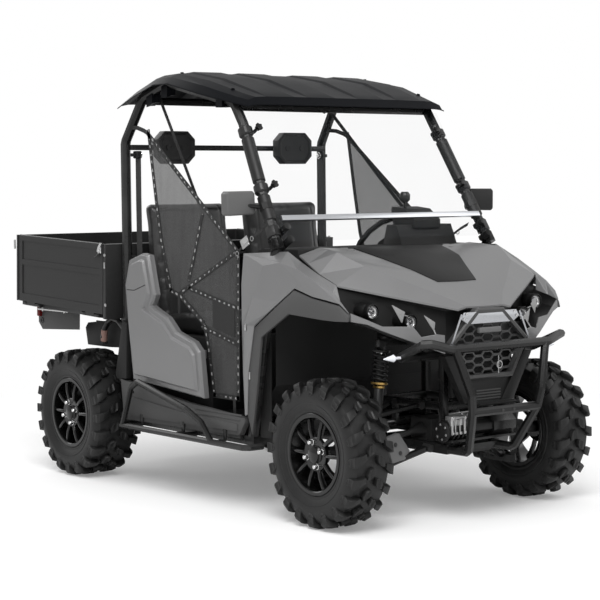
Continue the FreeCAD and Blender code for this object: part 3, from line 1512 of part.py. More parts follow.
os.makedirs("parts", exist_ok=True)
for build in (frame_rails, front_frame, rear_frame, skid_plate, suspension_arms, knuckles, hub_carriers,
              steering_rack, driveline, shock_absorbers, engine_block, muffler, winch, floor_tub, dashboard,
              controls, steering_wheel, seat_base, seat_cushions, seat_backs, headrests, roll_cage, roof,
              windscreen, windscreen_fittings, mirrors, hood, hood_insert, front_fenders, arch_trims, inner_fenders,
              nose_cover, grille, front_lamps, front_bumper, indicators, side_panels, rockers, side_bars, tail_lamps,
              rear_fenders, door_nets, seat_belts, cargo_bed, side_gates, tailgate, wheels):
    build()
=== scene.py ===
import bpy
import json
import math
from mathutils import Matrix, Vector
from mathutils.bvhtree import BVHTree


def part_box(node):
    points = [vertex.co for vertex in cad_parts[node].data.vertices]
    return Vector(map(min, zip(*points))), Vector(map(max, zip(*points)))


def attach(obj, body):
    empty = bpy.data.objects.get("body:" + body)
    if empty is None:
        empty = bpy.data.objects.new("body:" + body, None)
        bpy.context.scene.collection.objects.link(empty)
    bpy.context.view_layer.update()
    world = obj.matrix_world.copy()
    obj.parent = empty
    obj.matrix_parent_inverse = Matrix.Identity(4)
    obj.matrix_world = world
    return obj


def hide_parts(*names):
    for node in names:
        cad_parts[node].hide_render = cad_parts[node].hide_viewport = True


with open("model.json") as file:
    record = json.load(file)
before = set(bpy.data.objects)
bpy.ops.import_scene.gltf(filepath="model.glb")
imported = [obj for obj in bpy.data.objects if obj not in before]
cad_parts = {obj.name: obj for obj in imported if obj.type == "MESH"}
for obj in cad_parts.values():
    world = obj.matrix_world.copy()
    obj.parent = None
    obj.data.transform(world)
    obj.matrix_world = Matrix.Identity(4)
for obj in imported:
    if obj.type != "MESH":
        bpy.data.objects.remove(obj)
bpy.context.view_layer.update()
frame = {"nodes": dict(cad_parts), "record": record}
record = frame["record"]
bodyOf = {node: body for body, nodes in record["behaviour"]["bodies"].items() for node in nodes}
nodes = frame["nodes"]
print("frame loaded", len(nodes), "nodes")


# Shader maths as plain expressions
class Wire:
    def __init__(self, tree, socket):
        self.tree = tree
        self.socket = socket

    def plug(self, target, value):
        if isinstance(value, Wire):
            self.tree.links.new(value.socket, target)
        else:
            target.default_value = value

    def reckon(self, operation, first, second=0.0):
        node = self.tree.nodes.new("ShaderNodeMath")
        node.operation = operation
        self.plug(node.inputs[0], first)
        self.plug(node.inputs[1], second)
        return Wire(self.tree, node.outputs[0])

    def wave(self):
        return self.reckon("SINE", self)

    def size(self):
        return self.reckon("ABSOLUTE", self)


# Each operator and comparison adds one maths node
for method, operation in (("__add__", "ADD"), ("__sub__", "SUBTRACT"), ("__mul__", "MULTIPLY"),
                          ("__truediv__", "DIVIDE"), ("__gt__", "GREATER_THAN"), ("__lt__", "LESS_THAN"),
                          ("most", "MAXIMUM"), ("least", "MINIMUM")):
    setattr(Wire, method, lambda self, other, operation=operation: self.reckon(operation, self, other))
for method, operation in (("__radd__", "ADD"), ("__rsub__", "SUBTRACT"), ("__rmul__", "MULTIPLY")):
    setattr(Wire, method, lambda self, other, operation=operation: self.reckon(operation, other, self))


class Finish(Wire):
    def __init__(self, name):
        self.material = bpy.data.materials.new(name)
        self.material.use_nodes = True
        self.tree = self.material.node_tree
        self.shader = self.tree.nodes["Principled BSDF"]
        self.output = self.tree.nodes["Material Output"]

    def node(self, kind, settings=None, links=None, out=0):
        node = self.tree.nodes.new(kind)
        for key, value in (settings or {}).items():
            if key == "stops":
                ramp = node.color_ramp
                while len(ramp.elements) < len(value):
                    ramp.elements.new(0.5)
                for element, (position, colour) in zip(ramp.elements, value):
                    element.position = position
                    element.color = colour
            else:
                setattr(node, key, value)
        for key, value in (links or {}).items():
            self.plug(node.inputs[key], value)
        return Wire(self.tree, node.outputs[out])

    def place(self):
        return self.node("ShaderNodeTexCoord", out="Object")

    def noise(self, scale, detail=4.0, rough=0.5):
        return self.node("ShaderNodeTexNoise", links={"Vector": self.place(), "Scale": scale,
                                                      "Detail": detail, "Roughness": rough})

    def blendColours(self, mask, dark, light):
        return self.node("ShaderNodeMix", {"data_type": "RGBA"}, {0: mask, 6: dark, 7: light}, out=2)

    def bump(self, height, distance, strength=1.0):
        return self.node("ShaderNodeBump", links={"Height": height, "Distance": distance,
                                                  "Strength": strength})

    def put(self, **values):
        for key, value in values.items():
            self.plug(self.shader.inputs[key.replace("_", " ")], value)
        return self.material


def grey(level, tint=(1, 1, 1)):
    return (level * tint[0], level * tint[1], level * tint[2], 1)


def moulded(name, colour, shine, grain=900, depth=0.00012, spread=0.12, metal=0.0, coat=0.0, gloss=0.3):
    f = Finish(name)
    cloud = f.noise(5, 3)
    fine = f.noise(grain, 2)
    dark = tuple(c * (1 - spread) for c in colour[:3]) + (1,)
    light = tuple(c * (1 + spread) for c in colour[:3]) + (1,)
    return f.put(Base_Color=f.blendColours(cloud, dark, light), Roughness=shine - 0.06 + cloud * 0.12,
                 Metallic=metal, Coat_Weight=coat, Coat_Roughness=0.15, Specular_IOR_Level=gloss,
                 Normal=f.bump(fine, depth))


# A dark finish whose sharp edges, found by Pointiness, are painted a lighter grey in patches: painted
# highlights along the edges
def edgeHighlighted(name, colour, edge, shine, metal=0.0, peel=320):
    f = Finish(name)
    cloud = f.noise(9, 5)
    point = f.node("ShaderNodeNewGeometry", out="Pointiness")
    edges = f.node("ShaderNodeValToRGB", {"stops": [(0.53, (0, 0, 0, 1)), (0.6, (1, 1, 1, 1))]}, {0: point})
    mask = edges * cloud * 0.5
    return f.put(Base_Color=f.blendColours(mask, colour, edge), Roughness=shine - 0.05 + cloud * 0.12,
                 Metallic=metal, Specular_IOR_Level=0.3, Normal=f.bump(f.noise(peel, 2), 0.00015))


def rubberFinish(name):
    f = Finish(name)
    cloud = f.noise(14, 6, 0.65)
    dust = f.node("ShaderNodeValToRGB", {"stops": [(0.45, (0, 0, 0, 1)), (0.75, (1, 1, 1, 1))]}, {0: cloud})
    return f.put(Base_Color=f.blendColours(dust * 0.5, grey(0.008), grey(0.02)),
                 Roughness=0.36 + cloud * 0.26, Specular_IOR_Level=0.4,
                 Normal=f.bump(f.noise(500, 3), 0.0002))


def vinylFinish(name):
    f = Finish(name)
    cells = f.node("ShaderNodeTexVoronoi", {"feature": "DISTANCE_TO_EDGE"},
                   {"Vector": f.place(), "Scale": 420.0})
    cloud = f.noise(7, 4)
    return f.put(Base_Color=f.blendColours(cloud, grey(0.024), grey(0.04)), Roughness=0.3 + cloud * 0.12,
                 Coat_Weight=0.4, Coat_Roughness=0.25, Normal=f.bump(cells.least(0.25) + cloud * 0.4, 0.0003))


def netFinish(name, pitch=0.006, cord=0.42):
    f = Finish(name)
    parts = f.node("ShaderNodeSeparateXYZ", links={0: f.place()}, out="Y")
    height = f.node("ShaderNodeSeparateXYZ", links={0: f.place()}, out="Z")
    first = ((parts + height * 0.6) * (math.pi / pitch)).wave().size()
    second = ((parts - height * 0.6) * (math.pi / pitch)).wave().size()
    thread = (1 - first.least(second)) > (1 - cord)
    # The net's grey varies between darker and lighter narrow streaks that run down it
    streaked = f.node("ShaderNodeMapping", links={0: f.place(), "Scale": (1, 42, 5)})
    cloud = f.node("ShaderNodeTexNoise", links={"Vector": streaked, "Scale": 1.0, "Detail": 3.0})
    return f.put(Base_Color=f.blendColours(cloud, grey(0.02), grey(0.075)), Roughness=0.62,
                 Alpha=thread.most(0.66), Normal=f.bump(first * second, 0.0004))


def webbingFinish(name, colour, dotted=False):
    f = Finish(name)
    weave = f.node("ShaderNodeTexWave", {"wave_type": "BANDS", "bands_direction": "DIAGONAL"},
                   {"Vector": f.place(), "Scale": 190.0, "Distortion": 0.5})
    cloud = f.noise(30, 3)
    base = f.blendColours(cloud, tuple(c * 0.8 for c in colour[:3]) + (1,), colour)
    if dotted:
        along = f.node("ShaderNodeUVMap", {"uv_map": "strap"})
        u = f.node("ShaderNodeSeparateXYZ", links={0: along}, out="X")
        v = f.node("ShaderNodeSeparateXYZ", links={0: along}, out="Y")
        broken = f.noise(60, 3)
        middle = (v - 0.5 + (broken - 0.5) * 0.5).size() < 0.2
        stitch = middle * ((u * 170.0 + broken * 5.0).wave() > 0.3) * (broken > 0.47)
        base = f.blendColours(stitch, base, grey(0.32))
    return f.put(Base_Color=base, Roughness=0.68, Normal=f.bump(weave, 0.0003))


def clearFinish(name, alpha, colour, rough=0.04):
    f = Finish(name)
    haze = f.noise(3, 2)
    return f.put(Base_Color=colour, Roughness=rough + haze * 0.03, Alpha=alpha + haze * 0.03,
                 Specular_IOR_Level=0.2)


def glassFinish(name, colour):
    f = Finish(name)
    haze = f.noise(60, 2)
    return f.put(Base_Color=colour, Roughness=0.02 + haze * 0.03, Transmission_Weight=0.9, IOR=1.45)


def brushed(name, colour, shine=0.3, stretch=(4, 4, 220)):
    f = Finish(name)
    stretched = f.node("ShaderNodeMapping", links={0: f.place(), "Scale": stretch})
    lines = f.node("ShaderNodeTexNoise", links={"Vector": stretched, "Scale": 4.0, "Detail": 3.0})
    return f.put(Base_Color=f.blendColours(lines, tuple(c * 0.85 for c in colour[:3]) + (1,), colour),
                 Metallic=1.0, Roughness=shine - 0.08 + lines * 0.16, Normal=f.bump(lines, 0.00008))


# Each look is its maker and what the maker is given after the name. A moulded look has its colour, roughness,
# the scale and depth of its grain, the spread of its colour, then metal, coat and gloss
looks = {
    "panelGrey": (moulded, grey(0.2, (1, 1, 1.01)), 0.36, 1400, 0.00004, 0.05, 0.35, 0.35),
    "trimGrey": (moulded, grey(0.066), 0.55, 900, 0.00014),
    "insertBlack": (moulded, grey(0.007), 0.42, 900, 0.0001),
    "trimBlack": (moulded, grey(0.01), 0.46, 850, 0.00014),
    "gritPlastic": (moulded, grey(0.014), 0.6, 700, 0.0002),
    "roofBlack": (moulded, grey(0.0045, (0.9, 1, 1.3)), 0.4, 1200, 0.00005, 0.12, 0.0, 0.0, 0.08),
    # powderBlack's second grey is the painted highlight laid on its edges
    "powderBlack": (edgeHighlighted, grey(0.007), grey(0.09), 0.27),
    "meshBlack": (moulded, grey(0.075), 0.32, 900, 0.00005, 0.12, 0.4),
    "padBlack": (moulded, grey(0.034), 0.5, 700, 0.0002),
    "boxBlack": (moulded, grey(0.017), 0.38, 700, 0.0001, 0.2),
    "gripRubber": (rubberFinish,),
    "tyreRubber": (rubberFinish,),
    "rimBlack": (moulded, grey(0.004), 0.2, 1600, 0.00002, 0.1, 0.0, 0.3),
    "seatVinyl": (vinylFinish,),
    "netMesh": (netFinish,),
    "webBlack": (webbingFinish, grey(0.009), True),
    "webPlain": (webbingFinish, grey(0.012)),
    "webGrey": (webbingFinish, grey(0.035)),
    "clearSheet": (clearFinish, 0.015, (0.1, 0.11, 0.12, 1)),
    "smokeGlass": (glassFinish, (0.5, 0.5, 0.52, 1)),
    "redGlass": (clearFinish, 0.96, (0.13, 0.004, 0.004, 1), 0.12),
    "lensWhite": (clearFinish, 0.88, (0.86, 0.88, 0.92, 1), 0.08),
    "chrome": (moulded, grey(0.75), 0.14, 1500, 0.00001, 0.03, 1.0),
    "alloy": (brushed, grey(0.72, (0.97, 0.99, 1.03))),
    "castAlloy": (moulded, grey(0.5), 0.42, 420, 0.0003, 0.12, 0.9),
    "zinc": (moulded, grey(0.55), 0.3, 800, 0.0001, 0.1, 1.0),
    "goldZinc": (moulded, (0.55, 0.36, 0.12, 1), 0.28, 800, 0.0001, 0.1, 1.0),
    "castIron": (moulded, grey(0.06), 0.6, 300, 0.0005, 0.3, 0.4),
    "springBlack": (moulded, grey(0.012), 0.3, 900, 0.00005),
    "guardGrey": (moulded, grey(0.14), 0.5, 700, 0.0001),
    "finGrey": (moulded, grey(0.24), 0.4, 900, 0.0001),
    "sleevePink": (moulded, (0.32, 0.2, 0.17, 1), 0.6, 500, 0.0003),
    # A lighter grey copy of the black trim plastic: painted light on the right mirror's shell
    "shellGrey": (moulded, grey(0.11), 0.34, 900, 0.0001),
    "screenFace": (moulded, (0.01, 0.012, 0.016, 1), 0.08, 1200, 0.00001),
    "mirrorFace": (moulded, grey(0.85), 0.03, 1500, 0.000001, 0.01, 1.0),
}
finishes = {name: maker(name, *values) for name, (maker, *values) in looks.items()}
print("finishes made", len(finishes))


# Modelling by hand: pick, draw, extrude, spin and finish. The vehicle's left is +x
sides = ((1, "Left"), (-1, "Right"))


def pickOnly(*things):
    bpy.ops.object.select_all(action="DESELECT")
    for thing in things:
        thing.select_set(True)
    bpy.context.view_layer.objects.active = things[0]
    return things[0]


def editMode():
    bpy.ops.object.mode_set(mode="EDIT")


def editAll():
    editMode()
    bpy.ops.mesh.select_all(action="SELECT")


def objectMode():
    bpy.ops.object.mode_set(mode="OBJECT")


def remove(piece):
    pickOnly(piece)
    bpy.ops.object.delete()


def drawLine(name, points, closed=False):
    bpy.ops.object.select_all(action="DESELECT")
    bpy.ops.mesh.primitive_plane_add(size=0.001, location=(0, 0, 0))
    line = bpy.context.object
    line.name = name
    editAll()
    bpy.ops.mesh.merge(type="CENTER")
    bpy.ops.transform.translate(value=points[0])
    for before, after in zip(points, points[1:]):
        step = Vector(after) - Vector(before)
        bpy.ops.mesh.extrude_region_move(TRANSFORM_OT_translate={"value": step})
    if closed:
        bpy.ops.mesh.select_all(action="SELECT")
        bpy.ops.mesh.edge_face_add()
    objectMode()
    return line


def tidyMesh(piece, gap=0.00002):
    pickOnly(piece)
    editAll()
    bpy.ops.mesh.remove_doubles(threshold=gap)
    bpy.ops.mesh.normals_make_consistent(inside=False)
    objectMode()
    return piece


def lathe(name, profile, axis=(0, 0, 1), steps=48):
    line = drawLine(name, profile)
    editAll()
    bpy.ops.mesh.spin(steps=steps, angle=2 * math.pi, center=(0, 0, 0), axis=axis)
    objectMode()
    return tidyMesh(line)


def turned(name, rings, steps):
    return lathe(name, [(radius, 0, height) for radius, height in rings], steps=steps)


def washer(name, inner, outer, thick, steps):
    return turned(name, [(inner, 0), (outer, 0), (outer, thick), (inner, thick), (inner, 0)], steps)


def plate(name, outline, depth):
    piece = drawLine(name, outline, True)
    editAll()
    bpy.ops.mesh.extrude_region_move(TRANSFORM_OT_translate={"value": depth})
    objectMode()
    return tidyMesh(piece)


def applyModifiers(piece):
    pickOnly(piece)
    for modifier in list(piece.modifiers):
        bpy.ops.object.modifier_apply(modifier=modifier.name)
    return piece


def bevelEdges(piece, width, segments=2, angle=25):
    bevel = piece.modifiers.new("edges", "BEVEL")
    bevel.width = width
    bevel.segments = segments
    bevel.limit_method = "ANGLE"
    bevel.angle_limit = math.radians(angle)
    bevel.miter_outer = "MITER_ARC"
    return applyModifiers(piece)


def smoothBy(piece, angle=40):
    pickOnly(piece)
    bpy.ops.object.shade_smooth_by_angle(angle=math.radians(angle))
    return piece


def joinUp(pieces, name):
    pickOnly(*pieces)
    if len(pieces) > 1:
        bpy.ops.object.join()
    pieces[0].name = name
    return pieces[0]


def copyOf(piece, name, move=(0, 0, 0), flip=False):
    twin = bpy.data.objects.new(name, piece.data.copy())
    bpy.context.scene.collection.objects.link(twin)
    turn = Matrix.Translation(Vector(move))
    if flip:
        turn = Matrix.Translation(Vector(move)) @ Matrix.Scale(-1, 4, Vector((1, 0, 0)))
    twin.data.transform(turn)
    if flip:
        pickOnly(twin)
        editAll()
        bpy.ops.mesh.flip_normals()
        objectMode()
    return twin


def turnMesh(piece, angle):
    piece.data.transform(Matrix.Rotation(angle, 4, Vector((1, 0, 0))))
    return piece


def settle(piece, body, finish, stands=(), name=None):
    pickOnly(piece)
    bpy.ops.object.transform_apply(location=True, rotation=True, scale=True)
    if name:
        piece.name = name
    piece.data.materials.clear()
    for item in (finish if isinstance(finish, (list, tuple)) else [finish]):
        piece.data.materials.append(finishes[item])
    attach(piece, body)
    if stands:
        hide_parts(*stands)
    return piece


def settleAs(piece, node, finish, stands=True, name=None):
    return settle(piece, bodyOf[node], finish, (node,) if stands else (), name)


def mergedCopy(node, name, joinFlat=True):
    piece = bpy.data.objects.new(name, nodes[node].data.copy())
    bpy.context.scene.collection.objects.link(piece)
    piece.data.transform(nodes[node].matrix_world)
    pickOnly(piece)
    if piece.data.has_custom_normals:
        bpy.ops.mesh.customdata_custom_splitnormals_clear()
    editAll()
    bpy.ops.mesh.remove_doubles(threshold=0.00001)
    if joinFlat:
        bpy.ops.mesh.dissolve_limited(angle_limit=math.radians(0.6))
    objectMode()
    return piece


def dressNode(node, finish, edge=0.0, angle=40):
    piece = mergedCopy(node, node + "Dressed", edge > 0)
    if edge:
        bevelEdges(piece, edge, 2, 28)
    smoothBy(piece, angle)
    return settleAs(piece, node, finish)


# Each node that keeps its solid's shape: its look, the width of its rounded edges and the angle of a crease
dressed = {
    "hood": ("panelGrey", 0.0025, 9), "hood_insert": ("insertBlack", 0.0015, 24),
    "front_fenders": ("panelGrey", 0.0025, 10), "side_panels": ("panelGrey", 0.003, 12),
    "arch_trims": ("trimGrey", 0.003, 24), "rockers": ("trimGrey", 0.003, 24),
    "rear_fenders": ("gritPlastic", 0.003, 30), "nose_cover": ("insertBlack", 0.0015, 24),
    "grille": ("meshBlack", 0.0, 24), "roof": ("roofBlack", 0.003, 11),
    "dashboard": ("gritPlastic", 0.006, 30), "controls": ("powderBlack", 0.0, 45),
    "floor_tub": ("gritPlastic", 0.003, 30), "inner_fenders": ("gritPlastic", 0.001, 30),
    "seat_base": ("gritPlastic", 0.003, 30), "steering_wheel": ("gripRubber", 0.0, 50),
    "roll_cage": ("powderBlack", 0.0, 42), "front_bumper": ("powderBlack", 0.0, 42),
    "side_bars": ("powderBlack", 0.0, 42), "suspension_arms": ("powderBlack", 0.0, 42),
    "knuckle_front_left": ("castIron", 0.002, 40), "knuckle_front_right": ("castIron", 0.002, 40),
    "hub_carriers": ("castIron", 0.002, 40), "steering_rack": ("zinc", 0.0, 45),
    "driveline": ("castIron", 0.002, 42), "engine_block": ("castIron", 0.008, 30),
    "muffler": ("zinc", 0.0, 42), "winch": ("powderBlack", 0.0015, 40),
    "frame_rails": ("powderBlack", 0.003, 35), "front_frame": ("powderBlack", 0.0025, 35),
    "rear_frame": ("powderBlack", 0.0025, 35), "skid_plate": ("trimBlack", 0.001, 30),
    "cargo_bed": ("boxBlack", 0.003, 30), "side_gate_left": ("boxBlack", 0.0, 20),
    "side_gate_right": ("boxBlack", 0.0, 20), "tailgate": ("boxBlack", 0.0, 20),
    "tail_lamps": ("redGlass", 0.006, 30), "indicators": ("lensWhite", 0.0, 60),
    "windscreen": ("clearSheet", 0.001, 30),
}
for node, (finish, edge, angle) in dressed.items():
    dressNode(node, finish, edge, angle)
print("nodes dressed", len(dressed))


# Floor, light and camera
stageSet = {"floor": 60.0, "floorColour": 0.82, "lift": 0.2, "world": 0.6, "clearFrom": 1.9, "clearOver": 2.2,
            "glossShare": 0.55, "aim": (0, 0, 0.7), "lights": (("keyLight", (-3.6, -4.6, 6.6), 4.0, 460.0),
                                                               ("fillLight", (5.5, -3.5, 4.0), 4.0, 70.0),
                                                               ("rearLight", (-1.0, 6.0, 5.0), 5.0, 160.0))}


def makeStage():
    bpy.ops.object.select_all(action="DESELECT")
    bpy.ops.mesh.primitive_plane_add(size=stageSet["floor"], location=(0, 0, 0))
    floor = bpy.context.object
    floor.name = "floor"
    f = Finish("floorPale")
    f.put(Base_Color=grey(stageSet["floorColour"]), Roughness=0.9)
    glow = f.node("ShaderNodeEmission", links={"Color": (1, 1, 1, 1), "Strength": stageSet["lift"]})
    rays = f.node("ShaderNodeLightPath", out="Is Camera Ray")
    both = f.node("ShaderNodeAddShader", links={0: Wire(f.tree, f.shader.outputs[0]), 1: glow})
    spot = f.node("ShaderNodeVectorMath", {"operation": "LENGTH"}, {0: f.place()}, out=1)
    far = ((spot - stageSet["clearFrom"]) * (1 / stageSet["clearOver"])).most(0.0).least(1.0)
    white = f.node("ShaderNodeEmission", links={"Color": (1, 1, 1, 1), "Strength": 1.0})
    faded = f.node("ShaderNodeMixShader", links={0: far, 1: both, 2: white})
    mixed = f.node("ShaderNodeMixShader", links={0: rays, 1: Wire(f.tree, f.shader.outputs[0]), 2: faded})
    f.tree.links.new(mixed.socket, f.output.inputs[0])
    floor.data.materials.append(f.material)
    world = bpy.data.worlds.new("studio")
    bpy.context.scene.world = world
    world.use_nodes = True
    tree = world.node_tree
    back = tree.nodes["Background"]
    path = tree.nodes.new("ShaderNodeLightPath")
    seen = Wire(tree, path.outputs["Is Camera Ray"]).most(Wire(tree, path.outputs["Is Transmission Ray"]))
    seen = seen.most(Wire(tree, path.outputs["Is Glossy Ray"]) * stageSet["glossShare"])
    strength = seen.most(stageSet["world"])
    back.inputs[0].default_value = (1, 1, 1, 1)
    tree.links.new(strength.socket, back.inputs[1])
    for name, spot, size, power in stageSet["lights"]:
        bpy.ops.object.light_add(type="AREA", location=spot)
        lamp = bpy.context.object
        lamp.name = name
        lamp.data.energy = power
        lamp.data.size = size
        aim = Vector(stageSet["aim"]) - Vector(spot)
        lamp.rotation_euler = aim.to_track_quat("-Z", "Y").to_euler()


cameraSet = {"place": (-5.1112, -6.6433, 1.4164), "ahead": (0.61211, 0.78816, -0.06427), "roll": -0.568,
             "lens": 104.95, "sensor": 36.0, "reach": 200.0}


def makeCamera():
    forward = Vector(cameraSet["ahead"]).normalized()
    flat = forward.cross(Vector((0, 0, 1))).normalized()
    lift = flat.cross(forward)
    roll = math.radians(cameraSet["roll"])
    right = flat * math.cos(roll) + lift * math.sin(roll)
    up = lift * math.cos(roll) - flat * math.sin(roll)
    bpy.ops.object.camera_add(location=cameraSet["place"])
    camera = bpy.context.object
    camera.name = "photoCamera"
    camera.data.lens = cameraSet["lens"]
    camera.data.sensor_width = cameraSet["sensor"]
    camera.data.clip_end = cameraSet["reach"]
    rows = [(right[axis], up[axis], -forward[axis], cameraSet["place"][axis]) for axis in range(3)]
    camera.matrix_world = Matrix(rows + [(0, 0, 0, 1)])
    bpy.context.scene.camera = camera


makeStage()
makeCamera()
bpy.context.scene.view_settings.view_transform = "Standard"
print("stage and camera set")


# Lofts, chosen faces, turned placing and straps
def loft(name, sections):
    loops = [drawLine(name + str(index), section, True) for index, section in enumerate(sections)]
    piece = joinUp(loops, name)
    editAll()
    bpy.ops.mesh.delete(type="ONLY_FACE")
    bpy.ops.mesh.select_all(action="SELECT")
    bpy.ops.mesh.bridge_edge_loops(type="SINGLE")
    bpy.ops.mesh.select_all(action="SELECT")
    bpy.ops.mesh.fill_holes(sides=0)
    objectMode()
    return tidyMesh(piece)


def pickFaces(piece, test):
    pickOnly(piece)
    editMode()
    bpy.ops.mesh.select_mode(type="FACE")
    bpy.ops.mesh.select_all(action="DESELECT")
    objectMode()
    for face in piece.data.polygons:
        face.select = bool(test(face.center, face.normal))
    editMode()


def sinkFaces(piece, test, margin, depth):
    pickFaces(piece, test)
    bpy.ops.mesh.inset(thickness=margin, use_individual=True)
    bpy.ops.transform.translate(value=depth)
    bpy.ops.mesh.select_mode(type="VERT")
    objectMode()
    return piece


def putAt(piece, spot, direction=(0, 0, 1)):
    turn = Vector((0, 0, 1)).rotation_difference(Vector(direction))
    piece.data.transform(Matrix.Translation(Vector(spot)) @ turn.to_matrix().to_4x4())
    return piece


def strapAlong(name, points, width, thickness, across):
    sections = []
    for index, spot in enumerate(points):
        spot = Vector(spot)
        side = Vector(across[index] if isinstance(across, list) else across).normalized() * (width / 2)
        ahead = Vector(points[min(index + 1, len(points) - 1)]) - Vector(points[max(index - 1, 0)])
        lift = side.cross(ahead).normalized() * (thickness / 2)
        sections.append([spot - side - lift, spot + side - lift, spot + side + lift, spot - side + lift])
    strap = loft(name, sections)
    ride = strap.data.uv_layers.new(name="strap")
    lengths = [0.0]
    for before, after in zip(points, points[1:]):
        lengths.append(lengths[-1] + (Vector(after) - Vector(before)).length)
    for loop in strap.data.loops:
        where = strap.data.vertices[loop.vertex_index].co
        near = min(range(len(points)), key=lambda index: (Vector(points[index]) - where).length)
        side = Vector(across[near] if isinstance(across, list) else across).normalized()
        ride.data[loop.index].uv = (lengths[near], 0.5 + (where - Vector(points[near])).dot(side) / width)
    return strap


# Bolts are one hexagon head with its washer, copied to each place
boltSet = {"washer": 1.35, "height": 0.75, "crown": 0.8}


def boltHead(radius, finish, body, spots, name):
    flange = radius * boltSet["washer"]
    top = radius * boltSet["height"]
    head = turned(name, [(0, 0), (flange, 0), (flange, top * 0.2), (radius, top * 0.25), (radius, top * 0.85),
                        (radius * boltSet["crown"], top), (0, top)], 12)
    for face in head.data.polygons:
        face.use_smooth = False
    heads = [putAt(copyOf(head, name + "Copy"), spot, way) for spot, way in spots]
    remove(head)
    return settle(joinUp(heads, name), body, finish)


# Wheels: one tyre and one rim for each end, copied to the other side
tyreSet = {"pitches": 20, "bead": 0.158, "depth": 0.1545, "bevel": 0.0022, "rings": 100}


def polar(x, radius, turn):
    return Vector((x, radius * math.sin(turn), radius * math.cos(turn)))


def blockOf(name, half, stations):
    pitch = 2 * math.pi / tyreSet["pitches"]
    sections = []
    for outX, outR, inX, inR, lead, wide in stations:
        first, last = ((lead + share * wide) * pitch for share in (-0.5, 0.5))
        high, low = (tyreSet["bead"] + share * tyreSet["depth"] for share in (outR, inR))
        sections.append([polar(outX * half, high, first), polar(outX * half, high, last),
                         polar(inX * half, low, last), polar(inX * half, low, first)])
    return loft(name, sections)


def makeTyre(width, name):
    half = width / 2
    outline = [(-0.79, 0), (-0.8, 0.09), (-0.845, 0.12), (-0.86, 0.16), (-0.85, 0.19), (-0.9, 0.25),
               (-0.95, 0.34), (-0.955, 0.36), (-0.94, 0.375), (-0.965, 0.42), (-0.975, 0.52), (-0.955, 0.63),
               (-0.9, 0.74), (-0.8, 0.82), (-0.5, 0.855), (0, 0.865)]
    outline = outline + [(-u, v) for u, v in outline[-2::-1]]
    points = [(u * half, 0, tyreSet["bead"] + v * tyreSet["depth"]) for u, v in outline]
    carcass = lathe(name, points + points[:1], (1, 0, 0), tyreSet["rings"])
    shoulder = blockOf("shoulder", half, [(0.5, 0.99, 0.5, 0.8, 0.22, 0.26),
                                          (0.74, 0.985, 0.72, 0.78, 0.1, 0.36),
                                          (0.93, 0.945, 0.8, 0.75, 0.02, 0.44),
                                          (0.995, 0.85, 0.87, 0.7, -0.02, 0.46),
                                          (1.0, 0.68, 0.92, 0.6, -0.04, 0.42),
                                          (0.995, 0.58, 0.94, 0.55, -0.05, 0.16)])
    sinkFaces(shoulder, lambda spot, way: way.x > 0.6 and spot.x > 0.97 * half, 0.005, (-0.003, 0, 0))
    middle = blockOf("middle", half, [(0.05, 1.0, 0.05, 0.82, 0.56, 0.2), (0.12, 1.0, 0.12, 0.82, 0.54, 0.4),
                                      (0.3, 1.0, 0.3, 0.82, 0.44, 0.42),
                                      (0.42, 0.995, 0.42, 0.82, 0.34, 0.24)])
    sinkFaces(middle, lambda spot, way: way.z > 0.8 and 0.15 * half < spot.x < 0.28 * half, 0.005,
              (0, 0, -0.005))
    block = bevelEdges(joinUp([shoulder, middle], "block"), tyreSet["bevel"], 2, 35)
    pitch = 2 * math.pi / tyreSet["pitches"]
    blocks = []
    for index in range(tyreSet["pitches"]):
        for side in (1, -1):
            twin = copyOf(block, "blockCopy", flip=side < 0)
            blocks.append(turnMesh(twin, pitch * (index + (0.5 if side < 0 else 0))))
    remove(block)
    return smoothBy(joinUp([carcass] + blocks, name), 38)


rimSet = {"lip": 0.172, "barrel": 0.1577, "inner": 0.1527, "hub": 0.072, "faceIn": 0.022, "spokeHalf": 0.0085,
          "nutCircle": 0.052, "nuts": 4, "arms": 5, "rings": 96, "spoke": ((0.06, 0.021, 0.02, -0.004),
                                                                           (0.1, 0.032, 0.022, 0.0),
                                                                           (0.135, 0.0415, 0.026, -0.003),
                                                                           (0.1535, 0.046, 0.034, -0.008))}


